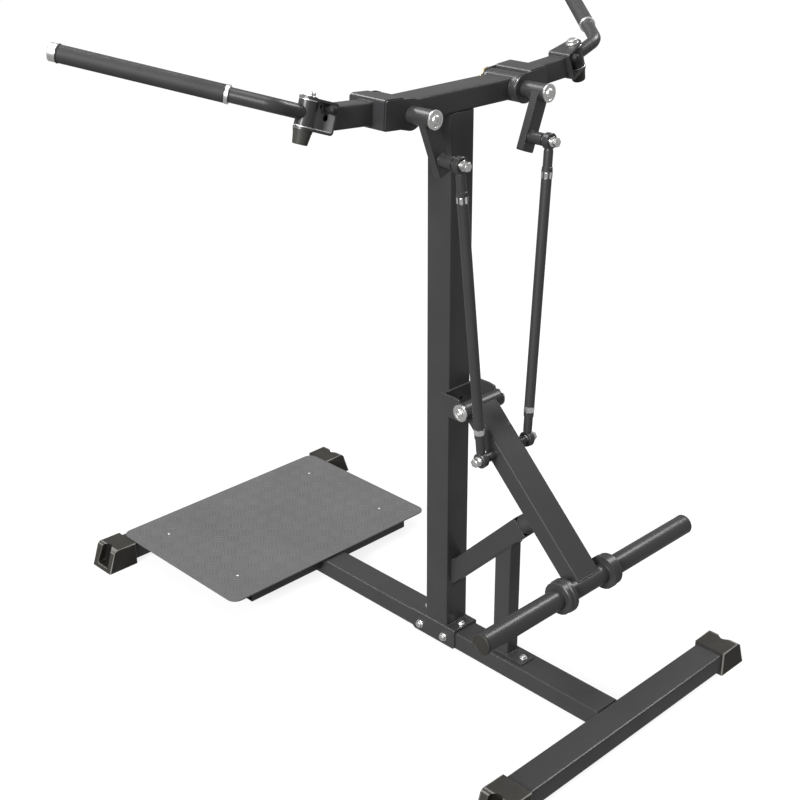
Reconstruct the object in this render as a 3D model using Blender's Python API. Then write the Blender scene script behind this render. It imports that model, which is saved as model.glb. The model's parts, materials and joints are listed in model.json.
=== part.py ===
# Plate-loaded chest fly machine: every separate piece as one closed body, at rest.
# Metres, +Z up, +X across the machine, +Y from the weight horns to the foot platform.
import math

import bpy
import bmesh
from mathutils import Matrix, Vector
from mathutils.geometry import tessellate_polygon

# Shared fits
GAP = 0.0003
PIVOT_GAP = 0.0004
WALL = 0.003
THIN_WALL = 0.0025
TUBE_CORNER = 0.006

# Base frame
TUBE_WIDE = 0.076
TUBE_LOW = 0.050
BASE_LIFT = 0.010
FRONT_CROSS_Y = -0.571
REAR_CROSS_Y = 0.931
CROSS_END_X = 0.424
CAP_INNER_X = 0.3665
CAP_OUTER_X = 0.4615
CAP_TOP_X = 0.4365
CAP_WIDE = TUBE_WIDE + 0.0115
CAP_TOP_Z = 0.0660
CAP_EDGE = 0.0030
CAP_SHOULDER = 0.016
CAP_SCOOP_WIDE = 0.040
CAP_SCOOP_DEEP = 0.020
CAP_SCOOP_LOW = 0.012
CAP_SCOOP_TOP = 0.0665

# Foot platform
PLATE_X = 0.363
PLATE_PAST_CROSS = 0.030
PLATE_REAR_Y = REAR_CROSS_Y + PLATE_PAST_CROSS
PLATE_FRONT_Y = 0.436
PLATE_TOP_Z = 0.068
PLATE_THICK = 0.004
PLATE_CORNER = 0.027
RIB_WIDE = 0.050
SUPPORT_X = 0.289
SUPPORT_FRONT_Y = 0.452
SUPPORT_WIDE = 0.038
SUPPORT_LOW_Z = 0.030

# Upright, saddle and top beam
UPRIGHT_WIDE = TUBE_WIDE
BEAM_LOW_Z = 1.401
BEAM_HIGH = 0.051
SADDLE_WALL = 0.0037
SADDLE_HALF_X = TUBE_WIDE / 2 + GAP + SADDLE_WALL
SADDLE_FRONT_Y = -0.0695
SADDLE_REAR_Y = 0.0865
SADDLE_TOP_Z = 0.066
SADDLE_LOW_Z = 0.0105

# Stop post, brace and bumper
POST_WIDE = 0.041
POST_DEEP = 0.0508
POST_Y = -0.2076
POST_FOOT_X = 0.025
POST_FOOT_FRONT_Y = -0.285
POST_FOOT_REAR_Y = -0.130
POST_FOOT_THICK = 0.0038
BRACE_SUM = 0.18365
BRACE_DEEP = 0.0525
BUMPER_HIGH = 0.0514
BUMPER_R = 0.021
BUMPER_FLANGE_R = 0.0245
BUMPER_FLANGE_THICK = 0.005

# Lever, its pivot and its horn. The lever lies at 45 degrees: runs go down along it from the
# pivot and rises go square to it, towards its upper face
HALF_ROOT = math.sqrt(0.5)
LEVER_WIDE = TUBE_WIDE
LEVER_DEEP = 0.0508
PIVOT_Y = -0.1035
PIVOT_Z = 0.7075
LEVER_SINK = 0.00106
LEVER_DIFF = PIVOT_Z - PIVOT_Y - LEVER_SINK / HALF_ROOT
LEVER_TOP_RUN = 0.006
SLEEVE_R = 0.0215
PIVOT_R = 0.008
BRACKET_HALF_X = 0.065
BRACKET_WALL = 0.006
BRACKET_TOP_Z = PIVOT_Z + 0.032
BRACKET_LOW_Z = PIVOT_Z - 0.0245
BRACKET_END_R = 0.0215
HORN_RUN = 0.486035
HORN_RISE = -LEVER_SINK
HORN_Y = PIVOT_Y - (HORN_RUN + HORN_RISE) * HALF_ROOT
HORN_Z = PIVOT_Z - (HORN_RUN - HORN_RISE) * HALF_ROOT
LEVER_END_RUN = HORN_RUN - 0.008
HORN_R = 0.025
HORN_BORE = 0.0215
HORN_END_X = {"left": 0.352, "right": 0.3855}
HORN_CAP_R = 0.0252
HORN_CAP_THICK = 0.0065
LEFT_COLLAR_X = (0.0724, 0.0845, 0.0995)
RIGHT_COLLAR_X = (0.0626, 0.0772, 0.0929)
COLLAR_BIG_R = 0.0415
COLLAR_SMALL_R = 0.0398

# Rod linkage
ROD_LOW_X = 0.0809
LINK_RUN = 0.121552
LINK_DROP = 0.004031
ROD_LOW_Y = PIVOT_Y - (LINK_RUN - LINK_DROP) * HALF_ROOT
ROD_LOW_Z = PIVOT_Z - (LINK_RUN + LINK_DROP) * HALF_ROOT
ROD_HIGH_X = 0.1454
ROD_HIGH_Y = -0.1665
ROD_HIGH_Z = 1.3313
ROD_R = 0.0125
ROD_BORE = 0.0095
EYE_R = 0.0190
EYE_BORE = 0.0129
EYE_WIDE = 0.0165
BALL_R = 0.0125
BALL_WIDE = 0.0190
LINK_PIN_R = 0.0060
LINK_NECK_R = 0.0080
LINK_NECK_RUN = 0.0190
LINK_HEAD_RUN = 0.0268
LINK_HEAD_R = 0.0112
LINK_SPACER_R = 0.0100
SHANK_R = 0.0110
NUT_RUN = 0.0656
NUT_R = 0.0132
NUT_IN_R = 0.0102
NUT_HIGH = 0.018
NUT_COLLAR_R = 0.0125
NUT_COLLAR_HIGH = 0.008
BOSS_R = 0.0120
OPEN_PIVOT_GAP = 0.0005

# Shafts, bearings and cranks
SHAFT_X = 0.1825
SHAFT_Z = 1.427
SHAFT_R = 0.0125
HOUSING_R = 0.033
HOUSING_BORE = 0.0205
HOUSING_FRONT_Y = -0.052
HOUSING_REAR_Y = 0.048
THRUST_R = 0.031
CRANK_SLEEVE_R = 0.0193
CRANK_FRONT_Y = -0.128
CRANK_END_CAP_R = 0.0213
CRANK_BAR_WIDE = 0.038
CRANK_BAR_FRONT_Y = -0.115
CRANK_BAR_REAR_Y = -0.095
CRANK_LEAN = math.radians(21.2)
CRANK_PIN_RUN = 0.1024
CRANK_END_RUN = 0.137
CRANK_BOSS_FRONT_Y = -0.150
CRANK_BOSS_R = 0.0145
BRASS_R = 0.034
BRASS_THICK = 0.0055

# Arms: u runs outward along the arm, w up, both turned by the arm's tilt at the shaft
ARM_TILT = math.radians(4.0)
YOKE_IN_U = 0.0202
YOKE_OUT_U = 0.0778
YOKE_LOW_W = -0.0300
YOKE_TOP_W = 0.0372
YOKE_FRONT_Y = -0.0564
YOKE_REAR_Y = 0.049
YOKE_PLATE = 0.0042
YOKE_LOBE_R = 0.0340
ARM_TUBE = 0.050
ARM_TUBE_W = 0.0026

# Hinge bracket: n runs outward from the web, h up along the hinge axis
BRACKET_LEAN = math.radians(19.24)
BRACKET_MID_X = 0.37355
BRACKET_MID_Z = 1.44285
HINGE_Y = -0.0035
HINGE_RUN = 0.0546
HINGE_WEB = 0.005
HINGE_FLANGE = 0.005
HINGE_HIGH = 0.067
FOLD_R = 0.003
HINGE_HALF_Y = 0.0318
HINGE_END_R = 0.0215
WEB_HOLE_R = 0.0072
WEB_HOLE_Y = -0.0044
WEB_HOLE_H = -0.0005
HINGE_PIN_R = 0.0060
HINGE_HEAD_R = 0.0088
HINGE_HEAD_HIGH = 0.0068
HINGE_WASHER_R = 0.0208
HINGE_WASHER_THICK = 0.0022
KNOB_TOP_R = 0.0200
KNOB_LOW_R = 0.0160
KNOB_HIGH = 0.030
PULL_N = 0.018
PULL_H = 0.0182
PULL_LUG_Y = -0.0133
PULL_LUG_WIDE = 0.015
PULL_LUG_LOW_H = 0.006
PULL_LUG_THICK = 0.0045
PULL_PIN_R = 0.0040
PULL_KNOB_R = 0.0098

# Handles, in the plane square to the hinge axis
KNUCKLE_R = 0.0208
HANDLE_R = 0.0155
HANDLE_BORE = 0.0125
ELBOW_RUN = 0.084
ELBOW_RADIUS = 0.045
ELBOW_TURN = math.radians(50.3)
RING_RUN = 0.1015
GRIP_RUN = 0.345
GRIP_R = 0.0188
GRIP_END_R = 0.0190
GRIP_END_RUN = 0.016

# Colour, roughness and metallic of each finish
FINISHES = {
    "powder_coat": ((0.055, 0.055, 0.057), 0.50, 0.0),
    "platform_grey": ((0.17, 0.17, 0.172), 0.62, 0.0),
    "moulded_rubber": ((0.035, 0.032, 0.028), 0.75, 0.0),
    "grip_rubber": ((0.030, 0.030, 0.030), 0.80, 0.0),
    "zinc": ((0.72, 0.72, 0.70), 0.28, 1.0),
    "brass": ((0.70, 0.50, 0.22), 0.35, 1.0),
    "moulded_plastic": ((0.050, 0.047, 0.042), 0.55, 0.0),
}

AXIS_X = Vector((1, 0, 0))
AXIS_Y = Vector((0, 1, 0))
AXIS_Z = Vector((0, 0, 1))
BASE_LOW_Y = FRONT_CROSS_Y - CAP_WIDE / 2
BASE_HIGH_Y = REAR_CROSS_Y + CAP_WIDE / 2
BASE_MID_Y = (BASE_LOW_Y + BASE_HIGH_Y) / 2

for old in list(bpy.data.objects):
    bpy.data.objects.remove(old)


def arc(centre_x, centre_y, radius, start, end, steps):
    """Points of an arc, angles in degrees, both ends included."""
    points = []
    for i in range(steps + 1):
        angle = math.radians(start + (end - start) * i / steps)
        points.append((centre_x + radius * math.cos(angle), centre_y + radius * math.sin(angle)))
    return points


def circle(radius, steps, centre=(0, 0)):
    return arc(centre[0], centre[1], radius, 0, 360 - 360 / steps, steps - 1)


def rectangle(low_x, high_x, low_y, high_y, corner=0.0, steps=2):
    if not corner:
        return [(low_x, low_y), (high_x, low_y), (high_x, high_y), (low_x, high_y)]
    centres = (
        (high_x - corner, low_y + corner, -90),
        (high_x - corner, high_y - corner, 0),
        (low_x + corner, high_y - corner, 90),
        (low_x + corner, low_y + corner, 180),
    )
    points = []
    for x, y, start in centres:
        points += arc(x, y, corner, start, start + 90, steps)
    return points


def area_of(loop):
    total = 0
    for (ax, ay), (bx, by) in zip(loop, loop[1:] + loop[:1]):
        total += ax * by - bx * ay
    return total / 2


def walls_match(loops):
    """Whether two loops are the outside and inside of one tube wall, point for point."""
    if len(loops) != 2 or len(loops[0]) != len(loops[1]):
        return False
    pairs = zip(loops[0], reversed(loops[1]))
    gaps = [math.dist(outer, inner) for outer, inner in pairs]
    return max(gaps) < 2 * min(gaps)


def prism(loops, low, high):
    """A straight body with an outline and holes. low and high are heights or functions of (x, y)."""
    if area_of(loops[0]) < 0:
        loops = [loops[0][::-1]] + loops[1:]
    loops = [loops[0]] + [hole if area_of(hole) < 0 else hole[::-1] for hole in loops[1:]]
    flat = [point for loop in loops for point in loop]
    low_at = low if callable(low) else lambda x, y: low
    high_at = high if callable(high) else lambda x, y: high
    count = len(flat)
    points = [(x, y, low_at(x, y)) for x, y in flat] + [(x, y, high_at(x, y)) for x, y in flat]
    faces = []
    start = 0
    for loop in loops:
        for i in range(len(loop)):
            a = start + i
            b = start + (i + 1) % len(loop)
            faces.append((a, b, b + count, a + count))
        start += len(loop)
    if walls_match(loops):
        half = len(loops[0])
        for i in range(half):
            j = (i + 1) % half
            a, b, c, d = i, j, 2 * half - 1 - j, 2 * half - 1 - i
            faces.append((d, c, b, a))
            faces.append((a + count, b + count, c + count, d + count))
        return points, faces
    fill = tessellate_polygon([[Vector((x, y, 0)) for x, y in loop] for loop in loops])
    for a, b, c in fill:
        if area_of([flat[a], flat[b], flat[c]]) < 0:
            a, c = c, a
        faces.append((c, b, a))
        faces.append((a + count, b + count, c + count))
    return points, faces


def turned(profile, steps=20):
    """A body of revolution about z from (radius, z) pairs that start and end on the axis, or close."""
    on_axis = profile[0][0] == 0
    points = []
    rows = []
    for radius, height in profile:
        if radius == 0:
            rows.append([len(points)] * steps)
            points.append((0, 0, height))
            continue
        rows.append(list(range(len(points), len(points) + steps)))
        for x, y in circle(radius, steps):
            points.append((x, y, height))
    faces = []
    last = len(rows) - 1 if on_axis else len(rows)
    for k in range(last):
        first, second = rows[k], rows[(k + 1) % len(rows)]
        for i in range(steps):
            j = (i + 1) % steps
            corners = []
            for index in (first[i], first[j], second[j], second[i]):
                if index not in corners:
                    corners.append(index)
            if len(corners) > 2:
                faces.append(tuple(corners))
    return points, faces


def swept(path, outer, inner, steps=16):
    """A round tube along a flat path in the x, y plane."""
    points = []
    faces = []
    rings = []
    for radius in (outer, inner):
        for k, (x, y) in enumerate(path):
            before = path[max(k - 1, 0)]
            after = path[min(k + 1, len(path) - 1)]
            along = Vector((after[0] - before[0], after[1] - before[1], 0)).normalized()
            side = Vector((-along.y, along.x, 0))
            rings.append(list(range(len(points), len(points) + steps)))
            for a, b in circle(radius, steps):
                points.append(tuple(Vector((x, y, 0)) + side * a + AXIS_Z * b))
    count = len(path)
    order = list(range(count)) + list(range(2 * count - 1, count - 1, -1))
    for k, ring in enumerate(order):
        following = order[(k + 1) % len(order)]
        for i in range(steps):
            j = (i + 1) % steps
            faces.append((rings[ring][i], rings[ring][j], rings[following][j], rings[following][i]))
    return points, faces


def placed(body, origin=(0, 0, 0), x=AXIS_X, y=AXIS_Y, z=AXIS_Z):
    """The body with its local axes laid along x, y and z from the origin."""
    points, faces = body
    start = Vector(origin)
    return [tuple(start + x * a + y * b + z * c) for a, b, c in points], faces


def mirrored(body, side):
    """The body for the left side (side -1) or the right side (side 1), modelled on the right."""
    points, faces = body
    return [(side * p[0], p[1], p[2]) for p in points], faces


def all_mirrored(bodies, side):
    return [mirrored(body, side) for body in bodies]


def mesh_of(name, body):
    points, faces = body
    shape = bmesh.new()
    corners = [shape.verts.new(point) for point in points]
    for face in faces:
        shape.faces.new([corners[i] for i in face])
    bmesh.ops.recalc_face_normals(shape, faces=shape.faces)
    mesh = bpy.data.meshes.new(name)
    shape.to_mesh(mesh)
    shape.free()
    return mesh


def finish_material(name, finish):
    colour, roughness, metallic = FINISHES[finish]
    made = bpy.data.materials.new(name + "_" + finish)
    made.use_nodes = True
    shader = made.node_tree.nodes["Principled BSDF"]
    shader.inputs["Base Color"].default_value = (*colour, 1)
    shader.inputs["Roughness"].default_value = roughness
    shader.inputs["Metallic"].default_value = metallic
    made.diffuse_color = (*colour, 1)
    return made


def add_piece(name, finish, body, pivot=(0, 0, 0), joins=(), cuts=(), solver="EXACT"):
    """One named piece with its origin on its pivot, joined with and cut by further bodies."""
    piece = bpy.data.objects.new(name, mesh_of(name, body))
    bpy.context.scene.collection.objects.link(piece)
    for operation, others in (("UNION", joins), ("DIFFERENCE", cuts)):
        for k, other in enumerate(others):
            tool_name = name + "_" + operation.lower() + str(k)
            tool = bpy.data.objects.new(tool_name, mesh_of(tool_name, other))
            bpy.context.scene.collection.objects.link(tool)
            step = piece.modifiers.new(tool_name, "BOOLEAN")
            step.operation = operation
            step.solver = solver
            step.object = tool
    if piece.modifiers:
        bpy.context.view_layer.update()
        graph = bpy.context.evaluated_depsgraph_get()
        joined = bpy.data.meshes.new_from_object(piece.evaluated_get(graph))
        tools = [step.object for step in piece.modifiers]
        piece.modifiers.clear()
        piece.data = joined
        for tool in tools:
            bpy.data.objects.remove(tool)
    centre = Vector(pivot)
    piece.data.transform(Matrix.Translation(-centre))
    piece.location = centre - AXIS_Y * BASE_MID_Y
    piece.data.materials.clear()
    piece.data.materials.append(finish_material(name, finish))
    for polygon in piece.data.polygons:
        polygon.use_smooth = True
    piece.data.set_sharp_from_angle(angle=math.radians(35))
    return piece


def square_tube(wide, high, wall=WALL, corner=TUBE_CORNER):
    outer = rectangle(-wide / 2, wide / 2, -high / 2, high / 2, corner)
    inner = rectangle(-wide / 2 + wall, wide / 2 - wall, -high / 2 + wall, high / 2 - wall, corner - wall)
    return [outer, inner]


# Base rail and crossbars
rail_mid_z = BASE_LIFT + TUBE_LOW / 2
rail_low_y = FRONT_CROSS_Y + TUBE_WIDE / 2 + GAP
rail_high_y = REAR_CROSS_Y - TUBE_WIDE / 2 - GAP
rail_body = prism(square_tube(TUBE_WIDE, TUBE_LOW), rail_low_y, rail_high_y)
add_piece("base_rail", "powder_coat", placed(rail_body, (0, 0, rail_mid_z), AXIS_X, AXIS_Z, AXIS_Y))
for name, cross_y in (("front_crossbar", FRONT_CROSS_Y), ("rear_crossbar", REAR_CROSS_Y)):
    bar = prism(square_tube(TUBE_WIDE, TUBE_LOW), -CROSS_END_X, CROSS_END_X)
    add_piece(name, "powder_coat", placed(bar, (0, cross_y, rail_mid_z), AXIS_Y, AXIS_Z, AXIS_X))


# Foot caps: a moulded sleeve over the tube end with a sloping face and an arched scoop
def cap_body():
    run = CAP_OUTER_X - CAP_INNER_X
    top_run = CAP_TOP_X - CAP_INNER_X
    slope = math.atan2(CAP_TOP_Z, run - top_run)
    away = Vector((math.sin(slope), math.cos(slope)))
    centre_w = CAP_TOP_Z - CAP_SHOULDER
    centre_u = run - (CAP_SHOULDER + centre_w * away.y) / away.x
    shoulder = arc(centre_u, centre_w, CAP_SHOULDER, 90 - math.degrees(slope), 90, 5)
    outline = [(0, 0), (run, 0)] + shoulder + [(0, CAP_TOP_Z)]
    half = CAP_WIDE / 2
    points, faces = prism([outline], -half, half)
    shape = bmesh.new()
    corners = [shape.verts.new(point) for point in points]
    sides = [face for face in faces if len(face) == 4]
    for face in sides:
        shape.faces.new([corners[i] for i in face])
    count = len(outline)
    shape.faces.new([corners[i] for i in range(count)])
    shape.faces.new([corners[i] for i in range(2 * count - 1, count - 1, -1)])
    bmesh.ops.recalc_face_normals(shape, faces=shape.faces)
    rims = [edge for edge in shape.edges if abs(edge.verts[0].co.z - edge.verts[1].co.z) < 1e-6]
    bmesh.ops.bevel(shape, geom=rims, offset=CAP_EDGE, segments=2, profile=0.5, affect="EDGES")
    points = [tuple(v.co) for v in shape.verts]
    shape.verts.index_update()
    faces = [tuple(v.index for v in face.verts) for face in shape.faces]
    shape.free()
    return (points, faces), away


def scoop_body(away):
    """The arch-shaped cutter, narrower inside than at its mouth, square to the sloping face."""
    run = CAP_OUTER_X - CAP_INNER_X
    up = Vector((-away.y, 0, away.x))
    out = Vector((away.x, 0, away.y))
    half = CAP_SCOOP_WIDE / 2
    points = []
    faces = []
    rings = []
    for depth, flare in ((0.012, 0.0030), (0.0, 0.0), (-0.004, -0.0028), (-CAP_SCOOP_DEEP, -0.0055)):
        radius = half + flare
        loop = [(radius, CAP_SCOOP_LOW - flare)]
        loop += arc(0, CAP_SCOOP_TOP - half, radius, 0, 180, 8)
        loop += [(-radius, CAP_SCOOP_LOW - flare)]
        rings.append(list(range(len(points), len(points) + len(loop))))
        for across, along in loop:
            place = Vector((run, 0, 0)) + up * along + out * depth
            points.append((place.x, across, place.z))
    for first, second in zip(rings, rings[1:]):
        for i in range(len(first)):
            j = (i + 1) % len(first)
            faces.append((first[i], first[j], second[j], second[i]))
    faces.append(tuple(rings[0]))
    faces.append(tuple(reversed(rings[-1])))
    return points, faces


cap_solid, slope_out = cap_body()
cap_scoop = scoop_body(slope_out)
socket_outline = rectangle(
    -TUBE_WIDE / 2 - GAP,
    TUBE_WIDE / 2 + GAP,
    BASE_LIFT - GAP,
    BASE_LIFT + TUBE_LOW + GAP,
    TUBE_CORNER,
)
cap_socket = prism([socket_outline], -0.01, CROSS_END_X + GAP - CAP_INNER_X)
for end, cross_y in (("front", FRONT_CROSS_Y), ("rear", REAR_CROSS_Y)):
    for hand, side in (("left", -1), ("right", 1)):
        base = (CAP_INNER_X, cross_y, 0)
        solid = mirrored(placed(cap_solid, base, AXIS_X, AXIS_Z, AXIS_Y), side)
        scoop = mirrored(placed(cap_scoop, base), side)
        socket = mirrored(placed(cap_socket, base, AXIS_Y, AXIS_Z, AXIS_X), side)
        name = end + "_" + hand + "_foot_cap"
        add_piece(name, "moulded_rubber", solid, cuts=(scoop, socket))

# Foot platform on its ribs and supports
plate_low = PLATE_TOP_Z - PLATE_THICK
plate_outline = rectangle(-PLATE_X, PLATE_X, PLATE_FRONT_Y, PLATE_REAR_Y, PLATE_CORNER, 6)
rail_top_z = BASE_LIFT + TUBE_LOW
rib_rear = prism(
    [rectangle(-PLATE_X + 0.03, PLATE_X - 0.03, REAR_CROSS_Y - 0.035, REAR_CROSS_Y - 0.035 + RIB_WIDE)],
    rail_top_z + GAP,
    plate_low + 0.001,
)
rib_mid = prism(
    [rectangle(-RIB_WIDE / 2, RIB_WIDE / 2, PLATE_FRONT_Y + 0.10, REAR_CROSS_Y - 0.060)],
    rail_top_z + GAP,
    plate_low + 0.001,
)
plate_body = prism([plate_outline], plate_low, PLATE_TOP_Z)
add_piece("foot_platform", "platform_grey", plate_body, joins=(rib_rear, rib_mid))
support_mid_z = (SUPPORT_LOW_Z + plate_low - GAP) / 2
support_high = plate_low - GAP - SUPPORT_LOW_Z
support_tube = square_tube(SUPPORT_WIDE, support_high, THIN_WALL, 0.004)
support_body = prism(support_tube, TUBE_WIDE / 2 + GAP, SUPPORT_X)
support_at = (0, SUPPORT_FRONT_Y + SUPPORT_WIDE / 2, support_mid_z)
for hand, side in (("left", -1), ("right", 1)):
    body = mirrored(placed(support_body, support_at, AXIS_Y, AXIS_Z, AXIS_X), side)
    add_piece(hand + "_platform_support", "powder_coat", body)

# Saddle over the rail, folded from plate, and the upright on it
half = SADDLE_HALF_X
inner = half - SADDLE_WALL
fold = [(-half, SADDLE_LOW_Z), (-inner, SADDLE_LOW_Z), (-inner, rail_top_z + GAP), (inner, rail_top_z + GAP)]
fold += [(inner, SADDLE_LOW_Z), (half, SADDLE_LOW_Z), (half, SADDLE_TOP_Z - 0.004)]
fold += arc(half - 0.004, SADDLE_TOP_Z - 0.004, 0.004, 22.5, 90, 3)
fold += arc(-half + 0.004, SADDLE_TOP_Z - 0.004, 0.004, 90, 157.5, 3) + [(-half, SADDLE_TOP_Z - 0.004)]
saddle_body = placed(prism([fold], SADDLE_FRONT_Y, SADDLE_REAR_Y), (0, 0, 0), AXIS_X, AXIS_Z, AXIS_Y)
chamfer = [(SADDLE_REAR_Y - 0.012, -0.01), (SADDLE_REAR_Y + 0.01, -0.01), (SADDLE_REAR_Y + 0.01, 0.0245)]
chamfer += [(SADDLE_REAR_Y, 0.0185), (SADDLE_REAR_Y - 0.012, SADDLE_LOW_Z)]
rounding = [(SADDLE_FRONT_Y - 0.01, -0.01), (SADDLE_FRONT_Y + 0.005, -0.01)]
rounding += [(SADDLE_FRONT_Y + 0.005, SADDLE_LOW_Z), (SADDLE_FRONT_Y, SADDLE_LOW_Z + 0.005)]
rounding += [(SADDLE_FRONT_Y - 0.01, SADDLE_LOW_Z + 0.015)]
saddle_past = SADDLE_HALF_X + 0.018
saddle_cuts = []
for outline in (chamfer, rounding):
    saddle_cuts.append(placed(prism([outline], -saddle_past, saddle_past), (0, 0, 0), AXIS_Y, AXIS_Z, AXIS_X))
add_piece("upright_saddle", "powder_coat", saddle_body, cuts=saddle_cuts)
upright_body = prism(square_tube(UPRIGHT_WIDE, UPRIGHT_WIDE), SADDLE_TOP_Z + GAP, BEAM_LOW_Z - GAP)
add_piece("upright", "powder_coat", upright_body)

# Stop post with its foot plate, brace and rubber bumper
lean_back = Vector((0, -1, 1)).normalized()
lean_in = Vector((0, 1, 1)).normalized()
brace_low_sum = BRACE_SUM - BRACE_DEEP / math.sqrt(2)
foot_top = rail_top_z + GAP + POST_FOOT_THICK
post_loops = []
for loop in square_tube(POST_WIDE, POST_DEEP, THIN_WALL, 0.005):
    post_loops.append([(x, y + POST_Y) for x, y in loop])
post_body = prism(post_loops, foot_top - 0.001, lambda x, y: brace_low_sum - y - GAP * 1.5)
foot_outline = rectangle(-POST_FOOT_X, POST_FOOT_X, POST_FOOT_FRONT_Y, POST_FOOT_REAR_Y, 0.004)
foot_body = prism([foot_outline], rail_top_z + GAP, foot_top)
add_piece("stop_post", "powder_coat", post_body, joins=(foot_body,))
brace_mid = Vector((0, BRACE_SUM / 2, BRACE_SUM / 2))
upright_front = -UPRIGHT_WIDE / 2


def brace_start(x, y):
    """Run along the brace at which it meets the upright's front face."""
    place = brace_mid + lean_in * y
    return (place.y - upright_front + GAP) * math.sqrt(2)


lever_under = (LEVER_DIFF - LEVER_DEEP / math.sqrt(2)) / math.sqrt(2)
brace_end = lever_under - BUMPER_HIGH - 2 * GAP
brace_body = prism(square_tube(POST_WIDE, BRACE_DEEP, THIN_WALL, 0.005), brace_start, brace_end)
add_piece("stop_brace", "powder_coat", placed(brace_body, brace_mid, AXIS_X, lean_in, lean_back))
bumper_run = BUMPER_HIGH
bumper_profile = [(0, 0), (BUMPER_FLANGE_R, 0), (BUMPER_FLANGE_R, BUMPER_FLANGE_THICK)]
bumper_profile += [(BUMPER_R, BUMPER_FLANGE_THICK), (BUMPER_R, bumper_run - 0.006)]
bumper_profile += [(BUMPER_R - 0.0018, bumper_run - 0.0018), (BUMPER_R - 0.006, bumper_run), (0, bumper_run)]
bumper_at = brace_mid + lean_back * (brace_end + GAP)
bumper_body = placed(turned(bumper_profile, 20), bumper_at, AXIS_X, lean_in, lean_back)
add_piece("stop_bumper", "moulded_rubber", bumper_body)

# Lever bracket on the upright: a web and two rounded side plates
web_face = upright_front - GAP
channel = rectangle(-BRACKET_HALF_X, BRACKET_HALF_X, PIVOT_Y - BRACKET_END_R - 0.002, web_face)
bracket_in = BRACKET_HALF_X - BRACKET_WALL
bracket_loop = [(-BRACKET_HALF_X, channel[0][1]), (-bracket_in, channel[0][1])]
bracket_loop += [(-bracket_in, web_face - BRACKET_WALL), (bracket_in, web_face - BRACKET_WALL)]
bracket_loop += [(bracket_in, channel[0][1]), (BRACKET_HALF_X, channel[0][1])]
bracket_loop += [(BRACKET_HALF_X, web_face), (-BRACKET_HALF_X, web_face)]
bracket_body = prism([bracket_loop], BRACKET_LOW_Z, BRACKET_TOP_Z)
end_low = PIVOT_Z - BRACKET_END_R
end_top = PIVOT_Z + BRACKET_END_R
slope_y = PIVOT_Y + 0.0255
trim_top = [(slope_y, BRACKET_TOP_Z + 0.01), (slope_y, BRACKET_TOP_Z)]
trim_top += [(PIVOT_Y + 0.0085, end_top + 0.0075)]
trim_top += arc(PIVOT_Y, PIVOT_Z, BRACKET_END_R, 78, 180, 8)
trim_top += [(PIVOT_Y - 0.05, PIVOT_Z), (PIVOT_Y - 0.05, BRACKET_TOP_Z + 0.01)]
trim_low = arc(PIVOT_Y, PIVOT_Z, BRACKET_END_R, 180, 270, 8)
trim_low += [(PIVOT_Y + 0.02, BRACKET_LOW_Z), (PIVOT_Y + 0.02, BRACKET_LOW_Z - 0.01)]
trim_low += [(PIVOT_Y - 0.05, BRACKET_LOW_Z - 0.01), (PIVOT_Y - 0.05, PIVOT_Z)]
bracket_past = BRACKET_HALF_X + 0.015
bracket_cuts = []
for outline in (trim_top, trim_low):
    bracket_cuts.append(placed(prism([outline], -bracket_past, bracket_past), (0, 0, 0), AXIS_Y, AXIS_Z, AXIS_X))
pivot_hole = prism([circle(PIVOT_R + PIVOT_GAP, 20)], -bracket_past, bracket_past)
bracket_cuts.append(placed(pivot_hole, (0, PIVOT_Y, PIVOT_Z), AXIS_Y, AXIS_Z, AXIS_X))
web_hole = prism([circle(0.0045, 16)], -0.02, 0.02)
bracket_cuts.append(placed(web_hole, (0, web_face, PIVOT_Z), AXIS_X, AXIS_Z, AXIS_Y))
add_piece("lever_bracket", "powder_coat", bracket_body, cuts=bracket_cuts)
washer_in = BRACKET_HALF_X + GAP
washer_out = washer_in + 0.0042
bolt_half = [(PIVOT_R, 0), (PIVOT_R, washer_in), (0.0212, washer_in), (0.0212, washer_out - 0.0008)]
bolt_half += [(0.0204, washer_out), (0.0132, washer_out), (0.0132, washer_out + 0.003)]
bolt_half += [(0.0105, washer_out + 0.0062), (0.005, washer_out + 0.0082), (0, washer_out + 0.0086)]
bolt_profile = [(r, -z) for r, z in reversed(bolt_half[1:])] + bolt_half[1:]
bolt_body = placed(turned(bolt_profile, 16), (0, PIVOT_Y, PIVOT_Z), AXIS_Y, AXIS_Z, AXIS_X)
add_piece("lever_pivot_bolt", "zinc", bolt_body)

# Lever: square tube with its pivot sleeve and the two pin bosses
lever_mid = Vector((0, -LEVER_DIFF / 2, LEVER_DIFF / 2))
lever_down = Vector((0, -1, -1)).normalized()
lever_up = Vector((0, -1, 1)).normalized()
lever_pivot = Vector((0, PIVOT_Y, PIVOT_Z))
pivot_run = (lever_pivot - lever_mid).dot(lever_down)
lever_origin = lever_mid + lever_down * pivot_run
lever_body = prism(square_tube(LEVER_WIDE, LEVER_DEEP), LEVER_TOP_RUN, LEVER_END_RUN)
sleeve_half = bracket_in - GAP
sleeve_bore = PIVOT_R + PIVOT_GAP
sleeve_ring = [(SLEEVE_R, -sleeve_half), (SLEEVE_R, sleeve_half)]
sleeve_ring += [(sleeve_bore, sleeve_half), (sleeve_bore, -sleeve_half)]
sleeve = turned(sleeve_ring, 20)
boss_origin = Vector((0, ROD_LOW_Y, ROD_LOW_Z))
ball_half = BALL_WIDE / 2
boss_end_x = ROD_LOW_X - ball_half - GAP
boss = prism([circle(BOSS_R, 20)], LEVER_WIDE / 2 - WALL / 2, boss_end_x)
boss_hole = prism([circle(LINK_PIN_R + GAP, 20)], LEVER_WIDE / 2 + 0.006, boss_end_x + 0.01)
lever_joins = [placed(sleeve, lever_pivot, AXIS_Y, AXIS_Z, AXIS_X)]
lever_cuts = []
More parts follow.
